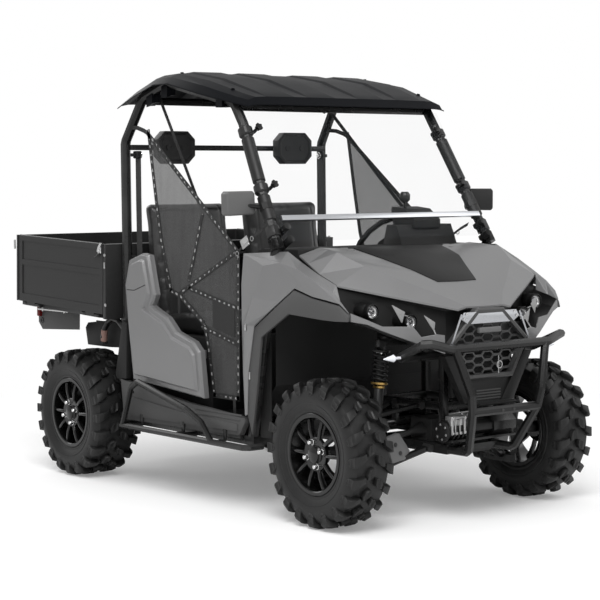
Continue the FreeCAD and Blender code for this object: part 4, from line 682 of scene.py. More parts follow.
def makeRim(width, name):
    half = width / 2
    edge = 0.8 * half + 0.0063
    seat = edge - 0.006
    face = half - rimSet["faceIn"]
    lip, barrelTop, low = rimSet["lip"], rimSet["barrel"], rimSet["inner"]
    outline = [(-edge, lip - 0.002), (-edge + 0.0015, lip), (-seat, lip), (-seat, barrelTop),
               (seat, barrelTop), (seat, lip), (edge - 0.0015, lip), (edge, lip - 0.002), (edge, barrelTop),
               (edge - 0.003, barrelTop - 0.004), (edge - 0.016, low), (-edge + 0.016, low),
               (-edge, barrelTop - 0.003)]
    points = [(x, 0, r) for x, r in outline]
    barrel = lathe(name + "Barrel", points + points[:1], (1, 0, 0), rimSet["rings"])
    hub = rimSet["hub"]
    disc = [(face - 0.052, 0.0254), (face - 0.052, 0.046), (face - 0.024, 0.05), (face - 0.02, hub),
            (face - 0.007, hub), (face - 0.004, hub - 0.003), (face - 0.006, 0.04), (face - 0.001, 0.036),
            (face + 0.006, 0.034), (face + 0.009, 0.029), (face + 0.01, 0.0), (face - 0.012, 0.0),
            (face - 0.012, 0.0254)]
    points = [(x, 0, r) for x, r in disc]
    centre = lathe(name + "Hub", points + points[:1], (1, 0, 0), 64)
    spokes = []
    wide = rimSet["spokeHalf"]
    for lean in (-1, 1):
        sections = []
        for reach, out, depth, front in rimSet["spoke"]:
            sections.append([Vector((face + front - sink, lean * out + wide * share, reach))
                             for sink, share in ((depth, -1), (depth, 1), (0.004, 1), (0, 0.45), (0, -0.45),
                                                 (0.004, -1))])
        spokes.append(loft(name + "Spoke", sections))
    pair = bevelEdges(joinUp(spokes, name + "Pair"), 0.0012)
    pairs = [turnMesh(copyOf(pair, name + "Arm"), math.radians(360 / rimSet["arms"] * index))
             for index in range(rimSet["arms"])]
    remove(pair)
    return smoothBy(joinUp([barrel, centre] + pairs, name), 34)


def makeNuts(width, name):
    face = width / 2 - rimSet["faceIn"] - 0.006
    nut = turned(name, [(0, 0), (0.011, 0), (0.0125, 0.003), (0.0105, 0.0035), (0.0105, 0.016),
                        (0.008, 0.021), (0.0, 0.0225)], 18)
    nuts = []
    for index in range(rimSet["nuts"]):
        turn = 2 * math.pi * (index + 0.2) / rimSet["nuts"]
        nuts.append(putAt(copyOf(nut, name + "Copy"), polar(face, rimSet["nutCircle"], turn), (1, 0, 0)))
    remove(nut)
    return smoothBy(joinUp(nuts, name), 34)


wheelSet = {"height": 0.3125, "ends": (("Front", -1.002, 0.205, 0.687), ("Rear", 0.878, 0.248, 0.745)),
            "kinds": (("tyre", makeTyre, "tyreRubber"), ("rim", makeRim, "rimBlack"),
                      ("nuts", makeNuts, "chrome"))}


def fitWheels():
    for end, place, width, reach in wheelSet["ends"]:
        x = reach - width / 2
        for kind, maker, finish in wheelSet["kinds"]:
            made = maker(width, kind + end)
            for side, flip in (("Left", False), ("Right", True)):
                node = ("rim" if kind == "nuts" else kind) + "_" + end.lower() + "_" + side.lower()
                twin = copyOf(made, kind + end + side, (-x if flip else x, place, wheelSet["height"]), flip)
                smoothBy(twin, 36)
                settle(twin, bodyOf[node], finish, () if kind == "nuts" else (node,))
            remove(made)


fitWheels()
print("wheels fitted")


# Small builders for the fittings
def blockAt(name, low, high, bevel=0.002, segments=2):
    corners = ((low[0], low[1]), (high[0], low[1]), (high[0], high[1]), (low[0], high[1]))
    piece = plate(name, [(x, y, low[2]) for x, y in corners], (0, 0, high[2] - low[2]))
    return smoothBy(bevelEdges(piece, bevel, segments))


def rodBetween(name, start, end, radius, steps=16):
    reach = (Vector(end) - Vector(start)).length
    edge = radius * 0.2
    profile = [(0, 0), (radius - edge, 0), (radius, edge), (radius, reach - edge), (radius - edge, reach),
               (0, reach)]
    return smoothBy(putAt(turned(name, profile, steps), start, Vector(end) - Vector(start)))


def pipeOf(name, points, radius, rounds):
    pipe = drawLine(name, points)
    pickOnly(pipe)
    bpy.ops.object.convert(target="CURVE")
    pipe = bpy.context.object
    pipe.data.bevel_depth = radius
    pipe.data.bevel_resolution = rounds
    pipe.data.use_fill_caps = True
    bpy.ops.object.convert(target="MESH")
    pipe = bpy.context.object
    return smoothBy(tidyMesh(pipe), 50)


def bothSides(pieces, name):
    twins = [copyOf(piece, name + "Twin", flip=True) for piece in pieces]
    return joinUp(pieces + twins, name)


def fitPair(pieces, name, finish, body="chassis"):
    return settle(bothSides(pieces, name), body, finish)


def tinted(node, pair, test, edge):
    piece = dressNode(node, pair, edge)
    for face in piece.data.polygons:
        face.material_index = int(test(face.center))
    return piece


def coilOf(name, turns, radius, wire, reach):
    ring = lathe(name + "Seed", [(0, 0, 0), (wire, 0, 0)], (0, 1, 0), 10)
    pickOnly(ring)
    editAll()
    bpy.ops.mesh.delete(type="ONLY_FACE")
    bpy.ops.mesh.select_all(action="DESELECT")
    objectMode()
    for vertex in ring.data.vertices:
        vertex.select = vertex.co.length < wire * 0.5
    editMode()
    bpy.ops.mesh.delete(type="VERT")
    bpy.ops.mesh.select_all(action="SELECT")
    bpy.ops.transform.translate(value=(radius, 0, 0))
    objectMode()
    wind = ring.modifiers.new("wind", "SCREW")
    wind.angle = 2 * math.pi * turns
    wind.screw_offset = reach
    wind.steps = int(18 * turns)
    wind.render_steps = wind.steps
    applyModifiers(ring)
    editAll()
    bpy.ops.mesh.fill_holes(sides=0)
    objectMode()
    ring.name = name
    return smoothBy(tidyMesh(ring), 60)


# Seats: each pad is swollen with cloth under pressure, then two channels are pressed into its face
seatSet = {"voxel": 0.011, "frames": 12, "pressure": 4.0, "cap": 0.014,
           "inner": 0.017, "outer": 0.538, "backFrom": 0.052, "backWidth": 0.466,
           "channels": 0.19, "backChannels": 0.17, "groove": 0.009, "grooveDepth": 0.004}


def swollen(pad, cap):
    home = [vertex.co.copy() for vertex in pad.data.vertices]
    cloth = pad.modifiers.new("swell", "CLOTH")
    cloth.settings.quality = 4
    cloth.settings.use_pressure = True
    cloth.settings.uniform_pressure_force = seatSet["pressure"]
    cloth.settings.effector_weights.gravity = 0
    cloth.settings.tension_stiffness = 20
    cloth.settings.compression_stiffness = 20
    cloth.settings.bending_stiffness = 2
    cloth.point_cache.frame_end = seatSet["frames"]
    for step in range(1, seatSet["frames"] + 1):
        bpy.context.scene.frame_set(step)
    applyModifiers(pad)
    bpy.context.scene.frame_set(1)
    for vertex, start in zip(pad.data.vertices, home):
        shift = vertex.co - start
        if shift.length > cap:
            vertex.co = start + shift.normalized() * cap
    return pad


def padFrom(name, outline, depth):
    pad = plate(name, outline, depth)
    bevelEdges(pad, 0.02, 3)
    remesh = pad.modifiers.new("skin", "REMESH")
    remesh.mode = "VOXEL"
    remesh.voxel_size = seatSet["voxel"]
    applyModifiers(pad)
    tidyMesh(pad)
    swollen(pad, seatSet["cap"])
    soften = pad.modifiers.new("soften", "SMOOTH")
    soften.factor = 0.5
    soften.iterations = 2
    applyModifiers(pad)
    finer = pad.modifiers.new("finer", "SUBSURF")
    finer.levels = 1
    finer.render_levels = 1
    return smoothBy(applyModifiers(pad), 60)


def channelled(pad, levels, picked, push):
    groove = seatSet["groove"]
    for vertex in pad.data.vertices:
        for level in levels:
            spot = vertex.co
            if picked(spot) and abs(spot.x - level) < groove:
                share = 1 - abs(spot.x - level) / groove
                vertex.co = spot + Vector(push) * seatSet["grooveDepth"] * share * share
    return pad


def makeSeats():
    low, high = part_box("seat_cushions")
    inner, outer = seatSet["inner"], seatSet["outer"]
    cushionOutline = [(low[1] + 0.012, low[2] + 0.008), (low[1] + 0.022, low[2] + 0.085),
                      (low[1] + 0.06, high[2] - 0.016), (low[1] + 0.25, high[2] - 0.03),
                      (high[1] - 0.008, high[2] - 0.05), (high[1] - 0.008, low[2] + 0.008)]
    backOutline = [(0.366, 0.742), (0.462, 0.742), (0.505, 1.35), (0.462, 1.358), (0.446, 1.33),
                   (0.385, 0.93)]
    for side, name in sides:
        start = inner + 0.006
        cushion = padFrom("cushion" + name, [(side * start, y, z) for y, z in cushionOutline],
                          (side * (outer - inner - 0.012), 0, 0))
        middle = side * (inner + outer) / 2
        channelled(cushion, [middle + way * seatSet["channels"] for way in (-1, 1)],
                   lambda spot: spot.z > 0.8, (0, 0, -1))
        backFrom, backWidth = side * seatSet["backFrom"], side * seatSet["backWidth"]
        back = padFrom("back" + name, [(backFrom, y, z) for y, z in backOutline], (backWidth, 0, 0))
        channelled(back, [backFrom + backWidth / 2 + way * seatSet["backChannels"] for way in (-1, 1)],
                   lambda spot: spot.y < 0.36 + 0.16 * (spot.z - 0.74), (0, 1, 0))
        for pad, node in ((cushion, "seat_cushions"), (back, "seat_backs")):
            settleAs(pad, node, "seatVinyl")


makeSeats()
print("seats padded")


# Headrests: foam pads with a stitched hexagon and two holes each, over the plain bar
headSet = {"x": 0.362, "z": 1.615, "half": 0.107, "halfHeight": 0.079, "front": 0.43, "depth": 0.05,
           "hole": 0.011, "bar": ((0.4792, 1.6022), (0.5048, 1.6022), (0.5048, 1.6278), (0.4792, 1.6278)),
           "barHalf": 0.592}


def makeHeadrests():
    pieces = []
    wide, tall = headSet["half"], headSet["halfHeight"]
    for x in (-headSet["x"], headSet["x"]):
        outline = [(x + u * wide, headSet["front"] + headSet["depth"], headSet["z"] + v * tall)
                   for u, v in ((-1, -0.5), (-1, 0.5), (-0.62, 1), (0.62, 1), (1, 0.5), (1, -0.5), (0.62, -1),
                                (-0.62, -1))]
        pad = plate("pad", outline, (0, -headSet["depth"], 0))
        sinkFaces(pad, lambda spot, way: way.y < -0.9, 0.016, (0, -0.001, 0))
        sinkFaces(pad, lambda spot, way: way.y < -0.9 and abs(spot.x - x) < 0.01, 0.003, (0, 0.005, 0))
        bevelEdges(pad, 0.007, 3)
        hole = headSet["hole"]
        for side in (-1, 1):
            eyelet = washer("eyelet", hole, hole + 0.004, 0.003, 20)
            well = turned("well", [(0, 0), (hole, 0), (hole, 0.002), (0, 0.002)], 20)
            for piece in (eyelet, well):
                pieces.append(putAt(piece, (x + side * 0.045, headSet["front"] + 0.003, headSet["z"]),
                                    (0, -1, 0)))
        pieces.append(smoothBy(pad))
    pads = settleAs(joinUp(pieces, "headPads"), "headrests", "padBlack", False)
    bar = plate("headBar", [(-headSet["barHalf"], y, z) for y, z in headSet["bar"]],
                (2 * headSet["barHalf"], 0, 0))
    bevelEdges(bar, 0.003, 3)
    settleAs(smoothBy(bar, 35), "headrests", "powderBlack")


makeHeadrests()
print("headrests fitted")


# Door nets: a hanging mesh with folds, bordered and crossed by webbing
netSet = {"x": 0.604, "fold": 0.0015, "border": 0.0115, "strap": 0.024, "thin": 0.0015,
          "crossings": (((-0.13, 1.3), (-0.012, 0.99)), ((0.055, 0.935), (-0.385, 1.135)),
                        ((-0.009, 0.962), (-0.384, 0.886)), ((-0.115, 0.79), (-0.384, 0.726)))}
# The net's outline as y and z, from its top corner forwards and round
netCorners = [(0.318, 1.693), (-0.412, 1.140), (-0.400, 0.475), (-0.199, 0.475), (-0.1565, 0.688),
              (-0.127, 0.795), (0.0625, 0.913), (0.143, 0.935), (0.223, 1.181), (0.2596, 1.364)]


def netPoint(side, y, z, out=0.0):
    return Vector((side * (netSet["x"] + out), y, z))


def makeNet(side, name):
    outline = [netPoint(side, y, z) for y, z in netCorners]
    net = drawLine("net" + name, outline, True)
    editAll()
    bpy.ops.mesh.quads_convert_to_tris(quad_method="BEAUTY", ngon_method="BEAUTY")
    bpy.ops.mesh.subdivide(number_cuts=12)
    objectMode()
    for vertex in net.data.vertices:
        y, z = vertex.co.y, vertex.co.z
        fold = math.sin(y * 60 + z * 9) + 0.6 * math.sin(y * 34 - z * 22)
        vertex.co.x = side * (netSet["x"] + netSet["fold"] * fold * 0.6)
    smoothBy(net, 60)
    settleAs(net, "door_nets", "netMesh")
    straps = []
    ring = netCorners + netCorners[:1]
    inset = netSet["border"]
    for (y0, z0), (y1, z1) in zip(ring, ring[1:]):
        ahead = Vector((0, y1 - y0, z1 - z0))
        across = Vector((0, -ahead.z, ahead.y)).normalized()
        shift = across * inset * 0.9
        points = [netPoint(side, y0 + ahead.y * t, z0 + ahead.z * t, 0.0018) + shift
                  for t in (0, 0.25, 0.5, 0.75, 1)]
        straps.append(strapAlong("border", points, 2 * inset, netSet["thin"], across))
    for (y0, z0), (y1, z1) in netSet["crossings"]:
        ahead = Vector((0, y1 - y0, z1 - z0))
        across = Vector((0, -ahead.z, ahead.y)).normalized()
        points = [netPoint(side, y0 + ahead.y * t, z0 + ahead.z * t, 0.0024) for t in (0, 0.33, 0.66, 1)]
        straps.append(strapAlong("crossStrap", points, netSet["strap"] * 0.8, netSet["thin"], across))
    webbing = settleAs(joinUp(straps, "netWebbing" + name), "door_nets", "webBlack", False)
    return net


# Ties from the net to the cage, the buckle on the front one and a plain patch. The upper tie later runs on to
# the roof, along the way and no further than the reach given here
tieSet = {"wide": 0.02, "thick": 0.0018, "reach": 0.12, "way": (-0.031, 0.148, 0.161),
          "upper": ((0.603, -0.12, 1.315), (0.57, 0.028, 1.474), (0.539, 0.175, 1.636),
                    (0.508, 0.323, 1.797))}


def netTies(side, name):
    upper = [Vector((side * x, y, z)) for x, y, z in tieSet["upper"]]
    apex = [netPoint(side, y, z, 0.001)
            for y, z in ((0.3, 1.672), (0.345, 1.69), (0.4, 1.705), (0.494, 1.712))]
    front = [netPoint(side, y, z, 0.0035 - 0.002 * share)
             for share, y, z in ((0, -0.395, 1.13), (0.4, -0.452, 1.17), (0.75, -0.53, 1.212),
                                 (1, -0.586, 1.235))]
    lower = [netPoint(side, y, z, 0.001) for y, z in ((-0.36, 0.48), (-0.36, 0.42), (-0.362, 0.372))]
    rear = [netPoint(side, y, z, 0.001) for y, z in ((0.07, 0.93), (0.07, 0.88), (0.072, 0.838))]
    straps = [strapAlong("tie", points, tieSet["wide"], tieSet["thick"], across)
              for points, across in ((upper, (0, -0.74, 0.67)), (apex, (0, -0.3, 0.95)),
                                     (front, (0, -0.5, 0.86)), (lower, (0, 1, 0)), (rear, (0, 1, 0)))]
    settleAs(joinUp(straps, "netTies" + name), "door_nets", "webPlain", False)
    x = side * (netSet["x"] + 0.004)
    frameOutline = [(x, y, z) for y, z in ((-0.492, 1.17), (-0.446, 1.146), (-0.424, 1.184), (-0.472, 1.21))]
    buckle = plate("buckle", frameOutline, (side * 0.005, 0, 0))
    sinkFaces(buckle, lambda spot, way: way.x * side > 0.9, 0.009, (-side * 0.003, 0, 0))
    tongue = rodBetween("tongue", (x + side * 0.003, -0.447, 1.163), (x + side * 0.003, -0.485, 1.19), 0.0022,
                        10)
    parts = [smoothBy(bevelEdges(buckle, 0.0012)), tongue]
    for y, z in ((-0.51, 1.196), (-0.4, 1.128)):
        ring = washer("ring", 0.0085, 0.0115, 0.003, 20)
        parts.append(smoothBy(putAt(ring, (x, y, z), (side, 0, 0))))
    settle(joinUp(parts, "netBuckle" + name), bodyOf["door_nets"], "zinc")
    outline = [(side * (netSet["x"] + 0.0012), y, z)
               for y, z in ((-0.2, 0.915), (-0.37, 0.885), (-0.37, 0.755), (-0.2, 0.79))]
    patch = plate("patch", outline, (side * 0.0016, 0, 0))
    settleAs(smoothBy(bevelEdges(patch, 0.0005, 1)), "door_nets", "webPlain", False, "netPatch" + name)


for side, name in sides:
    makeNet(side, name)
    netTies(side, name)
print("nets hung")


# Projector lamps with their bowls and lenses, two mirror dots in each as painted glints, and the pale fins
# beside them with their stems
lampSet = {"places": ((0.475, -1.163, 0.902), (0.327, -1.234, 0.856)), "radius": 0.033, "length": 0.108,
           "lens": 0.0275}


def makeLamps():
    r, lens, deep = lampSet["radius"], lampSet["lens"], lampSet["length"]
    casings, bowls, domes = [], [], []
    for place in lampSet["places"]:
        casing = turned("casing", [(0, -deep), (r - 0.006, -deep), (r, -deep + 0.01), (r, -0.03),
                                   (r - 0.0015, -0.028), (r - 0.0015, -0.024), (r, -0.022), (r, -0.001),
                                   (r - 0.002, 0.001), (r - 0.004, 0.001), (lens, -0.004), (lens, -0.03),
                                   (0, -0.032)], 36)
        bowl = turned("bowl", [(lens - 0.0005, -0.0045), (lens - 0.0025, -0.011), (lens - 0.0045, -0.013),
                               (0.0165, -0.014), (0.0165, -0.016), (lens - 0.0005, -0.016),
                               (lens - 0.0005, -0.0045)], 36)
        dome = turned("dome", [(0, -0.001), (0.006, -0.0018), (0.011, -0.0045), (0.0145, -0.009),
                               (0.0162, -0.0155), (0.015, -0.019), (0, -0.0195)], 28)
        for piece, group in ((casing, casings), (bowl, bowls), (dome, domes)):
            group.append(smoothBy(putAt(piece, place, (0, -1, 0)), 38))
    body = bodyOf["front_lamps"]
    settleAs(bothSides(casings, "lampCasings"), "front_lamps", "insertBlack")
    fitPair(bowls, "lampBowls", "zinc", body)
    fitPair(domes, "lampLenses", "smokeGlass", body)
    # Two mirror dots in each lamp stand for the highlights on its lens: painted glints
    glints = [glintDots(place) for place in lampSet["places"]]
    fitPair(glints, "lampGlints", "mirrorFace", body)
    fins = []
    for top, foot, back in (((0.42, -1.221, 0.931), (0.385, -1.242, 0.857), (0.364, -1.236, 0.9)),
                            ((0.306, -1.29, 0.886), (0.271, -1.311, 0.821), (0.256, -1.301, 0.855))):
        thick = Vector((0.0035, 0.0025, 0))
        fin = loft("fin", [[Vector(top), Vector(foot), Vector(back)],
                           [Vector(top) + thick, Vector(foot) + thick, Vector(back) + thick]])
        fins.append(smoothBy(bevelEdges(fin, 0.0008), 30))
    fins.append(rodBetween("finStem", (0.392, -1.232, 0.893), (0.3475, -1.233, 0.881), 0.003, 8))
    fins.append(rodBetween("finStem", (0.2725, -1.3095, 0.826), (0.2755, -1.3245, 0.806), 0.003, 8))
    fitPair(fins, "lampFins", "finGrey", body)


# Two small mirror domes set in the lens as painted glints
def glintDots(place):
    pin = turned("pin", [(0, 0.0005), (0.0032, -0.0005), (0.0042, -0.0035), (0, -0.004)], 12)
    first = putAt(copyOf(pin, "glintTwin"), Vector(place) + Vector((0.007, 0, 0.004)), (0, -1, 0))
    second = putAt(pin, Vector(place) + Vector((-0.002, 0, -0.011)), (0, -1, 0))
    return smoothBy(joinUp([first, second], "glintPair"), 50)


makeLamps()
print("lamps fitted")


# Grille: a blank bevelled plate with its screws and a bar under it
grilleSet = {"front": -1.3645, "depth": 0.007, "screw": 0.0045}


def makeGrillePlate():
    y = grilleSet["front"] + 0.0005
    outline = [(-0.15, y, 0.892), (0.15, y, 0.892), (0.168, y, 0.866), (0.13, y, 0.843), (-0.13, y, 0.843),
               (-0.168, y, 0.866)]
    shield = plate("shield", outline, (0, grilleSet["depth"], 0))
    sinkFaces(shield, lambda spot, way: way.y < -0.9, 0.006, (0, 0.0015, 0))
    settle(smoothBy(bevelEdges(shield, 0.0015, 3, 20), 30), "chassis", "alloy", name="grillePlate")
    bar = blockAt("bar", (-0.062, y + 0.001, 0.802), (0.062, y + 0.02, 0.825), 0.003, 3)
    settle(bar, "chassis", "guardGrey", name="grilleBar")
    spots = [((x, y - 0.0005, z), (0, -1, 0)) for x, z in ((-0.152, 0.867), (0.152, 0.867), (-0.138, 0.886),
                                                           (0.138, 0.886))]
    boltHead(grilleSet["screw"], "chrome", "chassis", spots, "plateScrews")


makeGrillePlate()
print("grille plate fitted")


# Shock absorbers: chrome rod, dark tube, coil over it and a gold collar
shockSet = {"coil": 0.0345, "wire": 0.0055, "turns": 6.5, "tube": 0.0215, "inner": 0.0195, "rod": 0.0115,
            "front": ((0.4, -1.064, 0.2138), (0.345, -1.064, 0.7447)),
            "rear": ((0.38, 0.94, 0.2138), (0.325, 0.94, 0.7055))}


def makeShocks():
    rods, tubes, coils, collars = [], [], [], []
    for end in ("front", "rear"):
        foot, head = Vector(shockSet[end][0]), Vector(shockSet[end][1])
        span = head - foot
        way = span.normalized()
        eye = 0.011
        rods.append(rodBetween("rod", foot + span * 0.03, foot + span * 0.5, shockSet["rod"]))
        for spot in (foot + span * 0.045, head - span * 0.05):
            rods.append(rodBetween("eye", spot - Vector((0, 0.018, 0)), spot + Vector((0, 0.018, 0)),
                                   eye * 1.35, 20))
        tube, inner, reach = shockSet["tube"], shockSet["inner"], span.length
        profile = [(0, 0), (0.017, 0), (tube, 0.005), (tube, reach * 0.38), (inner, reach * 0.385),
                   (inner, reach * 0.65), (0, reach * 0.65)]
        tubes.append(smoothBy(putAt(turned("tube", profile, 24), foot + span * 0.3, way)))
        coil = coilOf("coil", shockSet["turns"], shockSet["coil"] - shockSet["wire"], shockSet["wire"],
                      span.length * 0.235)
        coils.append(putAt(coil, foot + span * 0.713, way))
        for share, thick in ((0.697, 0.012), (0.952, 0.01)):
            ring = [(inner, 0), (0.03, 0), (0.0365, 0.003), (0.0365, thick - 0.001), (0.035, thick),
                    (inner, thick), (inner, 0)]
            group = collars if share < 0.9 else tubes
            group.append(smoothBy(putAt(turned("collar", ring, 28), foot + span * share, way)))
        ring = [(inner, 0), (0.026, 0.001), (0.026, 0.009), (inner, 0.01), (inner, 0)]
        collars.append(smoothBy(putAt(turned("lock", ring, 20), foot + span * 0.672, way)))
    settleAs(bothSides(rods, "shockRods"), "shock_absorbers", "chrome", False)
    settleAs(bothSides(tubes, "shockTubes"), "shock_absorbers", "powderBlack")
    settleAs(bothSides(coils, "shockCoils"), "shock_absorbers", "springBlack", False)
    settleAs(bothSides(collars, "shockCollars"), "shock_absorbers", "goldZinc", False)


makeShocks()
print("shocks fitted")


# Seat belts: a strap between its guide and its reel at each rear pillar
beltSet = {"x": 0.559, "y": 0.4712, "low": 0.862, "top": 1.598, "wide": 0.044, "thin": 0.0028}


def makeBelts():
    x, y, low, top = beltSet["x"], beltSet["y"], beltSet["low"], beltSet["top"]
    points = [(x, y, low + 0.03), (x, y - 0.001, low + 0.25), (x, y + 0.001, low + 0.5), (x, y, top - 0.012)]
    strap = strapAlong("beltStrap", points, beltSet["wide"], beltSet["thin"], (0, 1, 0))
    reel = blockAt("reel", (0.5378, 0.4542, low - 0.001), (0.5772, 0.4905, low + 0.037), 0.006, 3)
    guide = blockAt("guide", (0.5485, 0.4542, top - 0.036), (0.5772, 0.4905, top), 0.005, 3)
    place = (0.549, 0.4715, top - 0.018)
    loop = [(0.0125, 0), (0.0165, 0), (0.0175, 0.002), (0.0165, 0.004), (0.0125, 0.004), (0.0125, 0)]
    ring = smoothBy(putAt(turned("loop", loop, 24), place, (-1, 0, 0)))
    knob = [(0, 0), (0.008, 0), (0.0095, 0.004), (0.0075, 0.0085), (0, 0.0105)]
    stud = smoothBy(putAt(turned("stud", knob, 20), place, (-1, 0, 0)), 50)
    settleAs(bothSides([strap], "beltStraps"), "seat_belts", "webGrey")
    arm = blockAt("arm", (0.57, 0.462, top - 0.027), (0.596, 0.483, top - 0.011), 0.002)
    settleAs(bothSides([reel, guide, arm], "beltReels"), "seat_belts", "trimBlack", False)
    settleAs(bothSides([stud, ring], "beltStuds"), "seat_belts", "chrome", False)


makeBelts()
print("belts fitted")


# The windscreen fittings wear two finishes, and the bar sits at its height in the photograph
screenSet = {"barZ": 1.301, "near": 0.02, "half": 0.5805, "shift": (0, -0.0108, -0.0187), "edge": 0.0012}


def nearBar(spot):
    return abs(spot.z - screenSet["barZ"]) < screenSet["near"] and abs(spot.x) < screenSet["half"]


fittings = tinted("windscreen_fittings", ["powderBlack", "alloy"], nearBar, screenSet["edge"])
for vertex in fittings.data.vertices:
    if nearBar(vertex.co):
        vertex.co += Vector(screenSet["shift"])
print("windscreen fittings dressed")


# Mirrors: a rounded shell with its glass on the stalk and grip of the solid
mirrorSet = {"inner": 0.634, "outer": 0.7845, "low": 1.295, "high": 1.403, "front": -0.5745, "back": -0.5245}


def makeMirrors():
    stalks = mergedCopy("mirrors", "mirrorStalks")
    pickFaces(stalks, lambda spot, way: abs(spot.x) > 0.672)
    bpy.ops.mesh.delete(type="FACE")
    bpy.ops.mesh.select_mode(type="VERT")
    bpy.ops.mesh.select_all(action="SELECT")
    bpy.ops.mesh.fill_holes(sides=0)
    objectMode()
    settleAs(smoothBy(stalks), "mirrors", "trimBlack")
    shares = ((0.05, 0.06), (0.0, 0.2), (0.02, 0.9), (0.08, 1.0), (0.92, 0.99), (1.0, 0.9), (0.99, 0.12),
              (0.92, 0.02))
    wide, tall = mirrorSet["outer"] - mirrorSet["inner"], mirrorSet["high"] - mirrorSet["low"]
    # Both shells are the same black plastic; the right one is painted lighter grey for the light falling on
    # it
    for side, name, finish in ((1, "Left", "trimBlack"), (-1, "Right", "shellGrey")):
        outline = [(side * (mirrorSet["inner"] + u * wide), mirrorSet["back"], mirrorSet["low"] + v * tall)
                   for u, v in shares]
        shell = plate("shell", outline, (0, mirrorSet["front"] - mirrorSet["back"], 0))
        sinkFaces(shell, lambda spot, way: way.y > 0.9, 0.006, (0, -0.003, 0))
        bevelEdges(shell, 0.013, 4, 40)
        settleAs(smoothBy(shell, 50), "mirrors", finish, False, "mirrorShell" + name)
        glass = plate("glass", [(side * (mirrorSet["inner"] + u * wide), mirrorSet["back"] - 0.0035,
                                 mirrorSet["low"] + v * tall)
                                for u, v in ((0.12, 0.14), (0.09, 0.82), (0.16, 0.9), (0.86, 0.89),
                                             (0.91, 0.8), (0.9, 0.16))], (0, 0.0015, 0))
        settle(smoothBy(bevelEdges(glass, 0.0005, 1)), bodyOf["mirrors"], "mirrorFace",
               name="mirrorGlass" + name)


makeMirrors()
print("mirrors fitted")


# Winch: an end cap with ribs, its bolts and the clutch lever
winchSet = {"centre": (-0.125, -1.279, 0.3915), "capX": -0.19, "ribs": 5, "ribFrom": -0.175, "ribStep": 0.024,
            "bolts": 6, "boltX": -0.2068, "boltCircle": 0.031, "bolt": 0.0045, "lever": 0.0055}


def makeWinchParts():
    centre = Vector(winchSet["centre"])
    cap = turned("cap", [(0, 0), (0.04, 0), (0.043, 0.003), (0.043, 0.012), (0.037, 0.017), (0, 0.019)], 32)
    caps = [putAt(cap, (winchSet["capX"], centre.y, centre.z), (-1, 0, 0))]
    for index in range(winchSet["ribs"]):
        x = winchSet["ribFrom"] + index * winchSet["ribStep"]
        ring = turned("rib", [(0.0455, 0), (0.049, 0.001), (0.049, 0.007), (0.0455, 0.008), (0.0455, 0)], 32)
        caps.append(putAt(ring, (x, centre.y, centre.z), (1, 0, 0)))
    gear = joinUp(caps, "winchCap")
    settle(smoothBy(gear), bodyOf["winch"], "trimBlack")
    spots = []
    circle = winchSet["boltCircle"]
    for index in range(winchSet["bolts"]):
        turn = math.radians(360 / winchSet["bolts"] * index + 20)
        spots.append(((winchSet["boltX"], centre.y + circle * math.cos(turn),
                       centre.z + circle * math.sin(turn)), (-1, 0, 0)))
    boltHead(winchSet["bolt"], "zinc", bodyOf["winch"], spots, "winchBolts")
    lever = rodBetween("lever", (-0.12, centre.y - 0.02, centre.z + 0.04),
                       (-0.12, centre.y - 0.035, centre.z + 0.075), winchSet["lever"])
    settle(lever, bodyOf["winch"], "chrome", name="winchLever")


makeWinchParts()
print("winch parts fitted")


# Where a straight line first meets a solid, for fixings that sit on its face
faceTrees = {}


def touch(node, start, way):
    if node not in faceTrees:
        thing = nodes[node]
        corners = [thing.matrix_world @ vertex.co for vertex in thing.data.vertices]
        faceTrees[node] = BVHTree.FromPolygons(corners, [tuple(face.vertices)
                                                         for face in thing.data.polygons])
    spot, normal = faceTrees[node].ray_cast(Vector(start), Vector(way))[:2]
    return (spot, normal) if spot else None


def boltsOn(node, radius, finish, starts, way, name):
    spots = [found for found in (touch(node, start, way) for start in starts) if found]
    spots += [(Vector((-spot.x, spot.y, spot.z)), Vector((-normal.x, normal.y, normal.z)))
              for spot, normal in spots]
    print(name, len(spots))
    if spots:
        boltHead(radius, finish, bodyOf[node], spots, name)


# Front details: silver strips on the grille's chamfers as painted highlights, a ring on the grille, ribs on
# the chin, arm guards and a winch housing
frontSet = {"chamferHighlight": ((0.167, 0.885), (0.196, 0.825), (0.2225, 0.768)), "ring": (0.045, 0.665),
            "chin": (0.52, 0.532, 0.544, 0.556), "bumperBolt": 0.006, "guardBolt": 0.007,
            "housingBolt": 0.0045, "guard": ((-0.368, 0.36), (-0.294, 0.378), (-0.234, 0.297),
                                             (-0.262, 0.262), (-0.332, 0.252)), "guardY": -1.115,
            "ridges": (-0.172, -0.147, -0.122)}


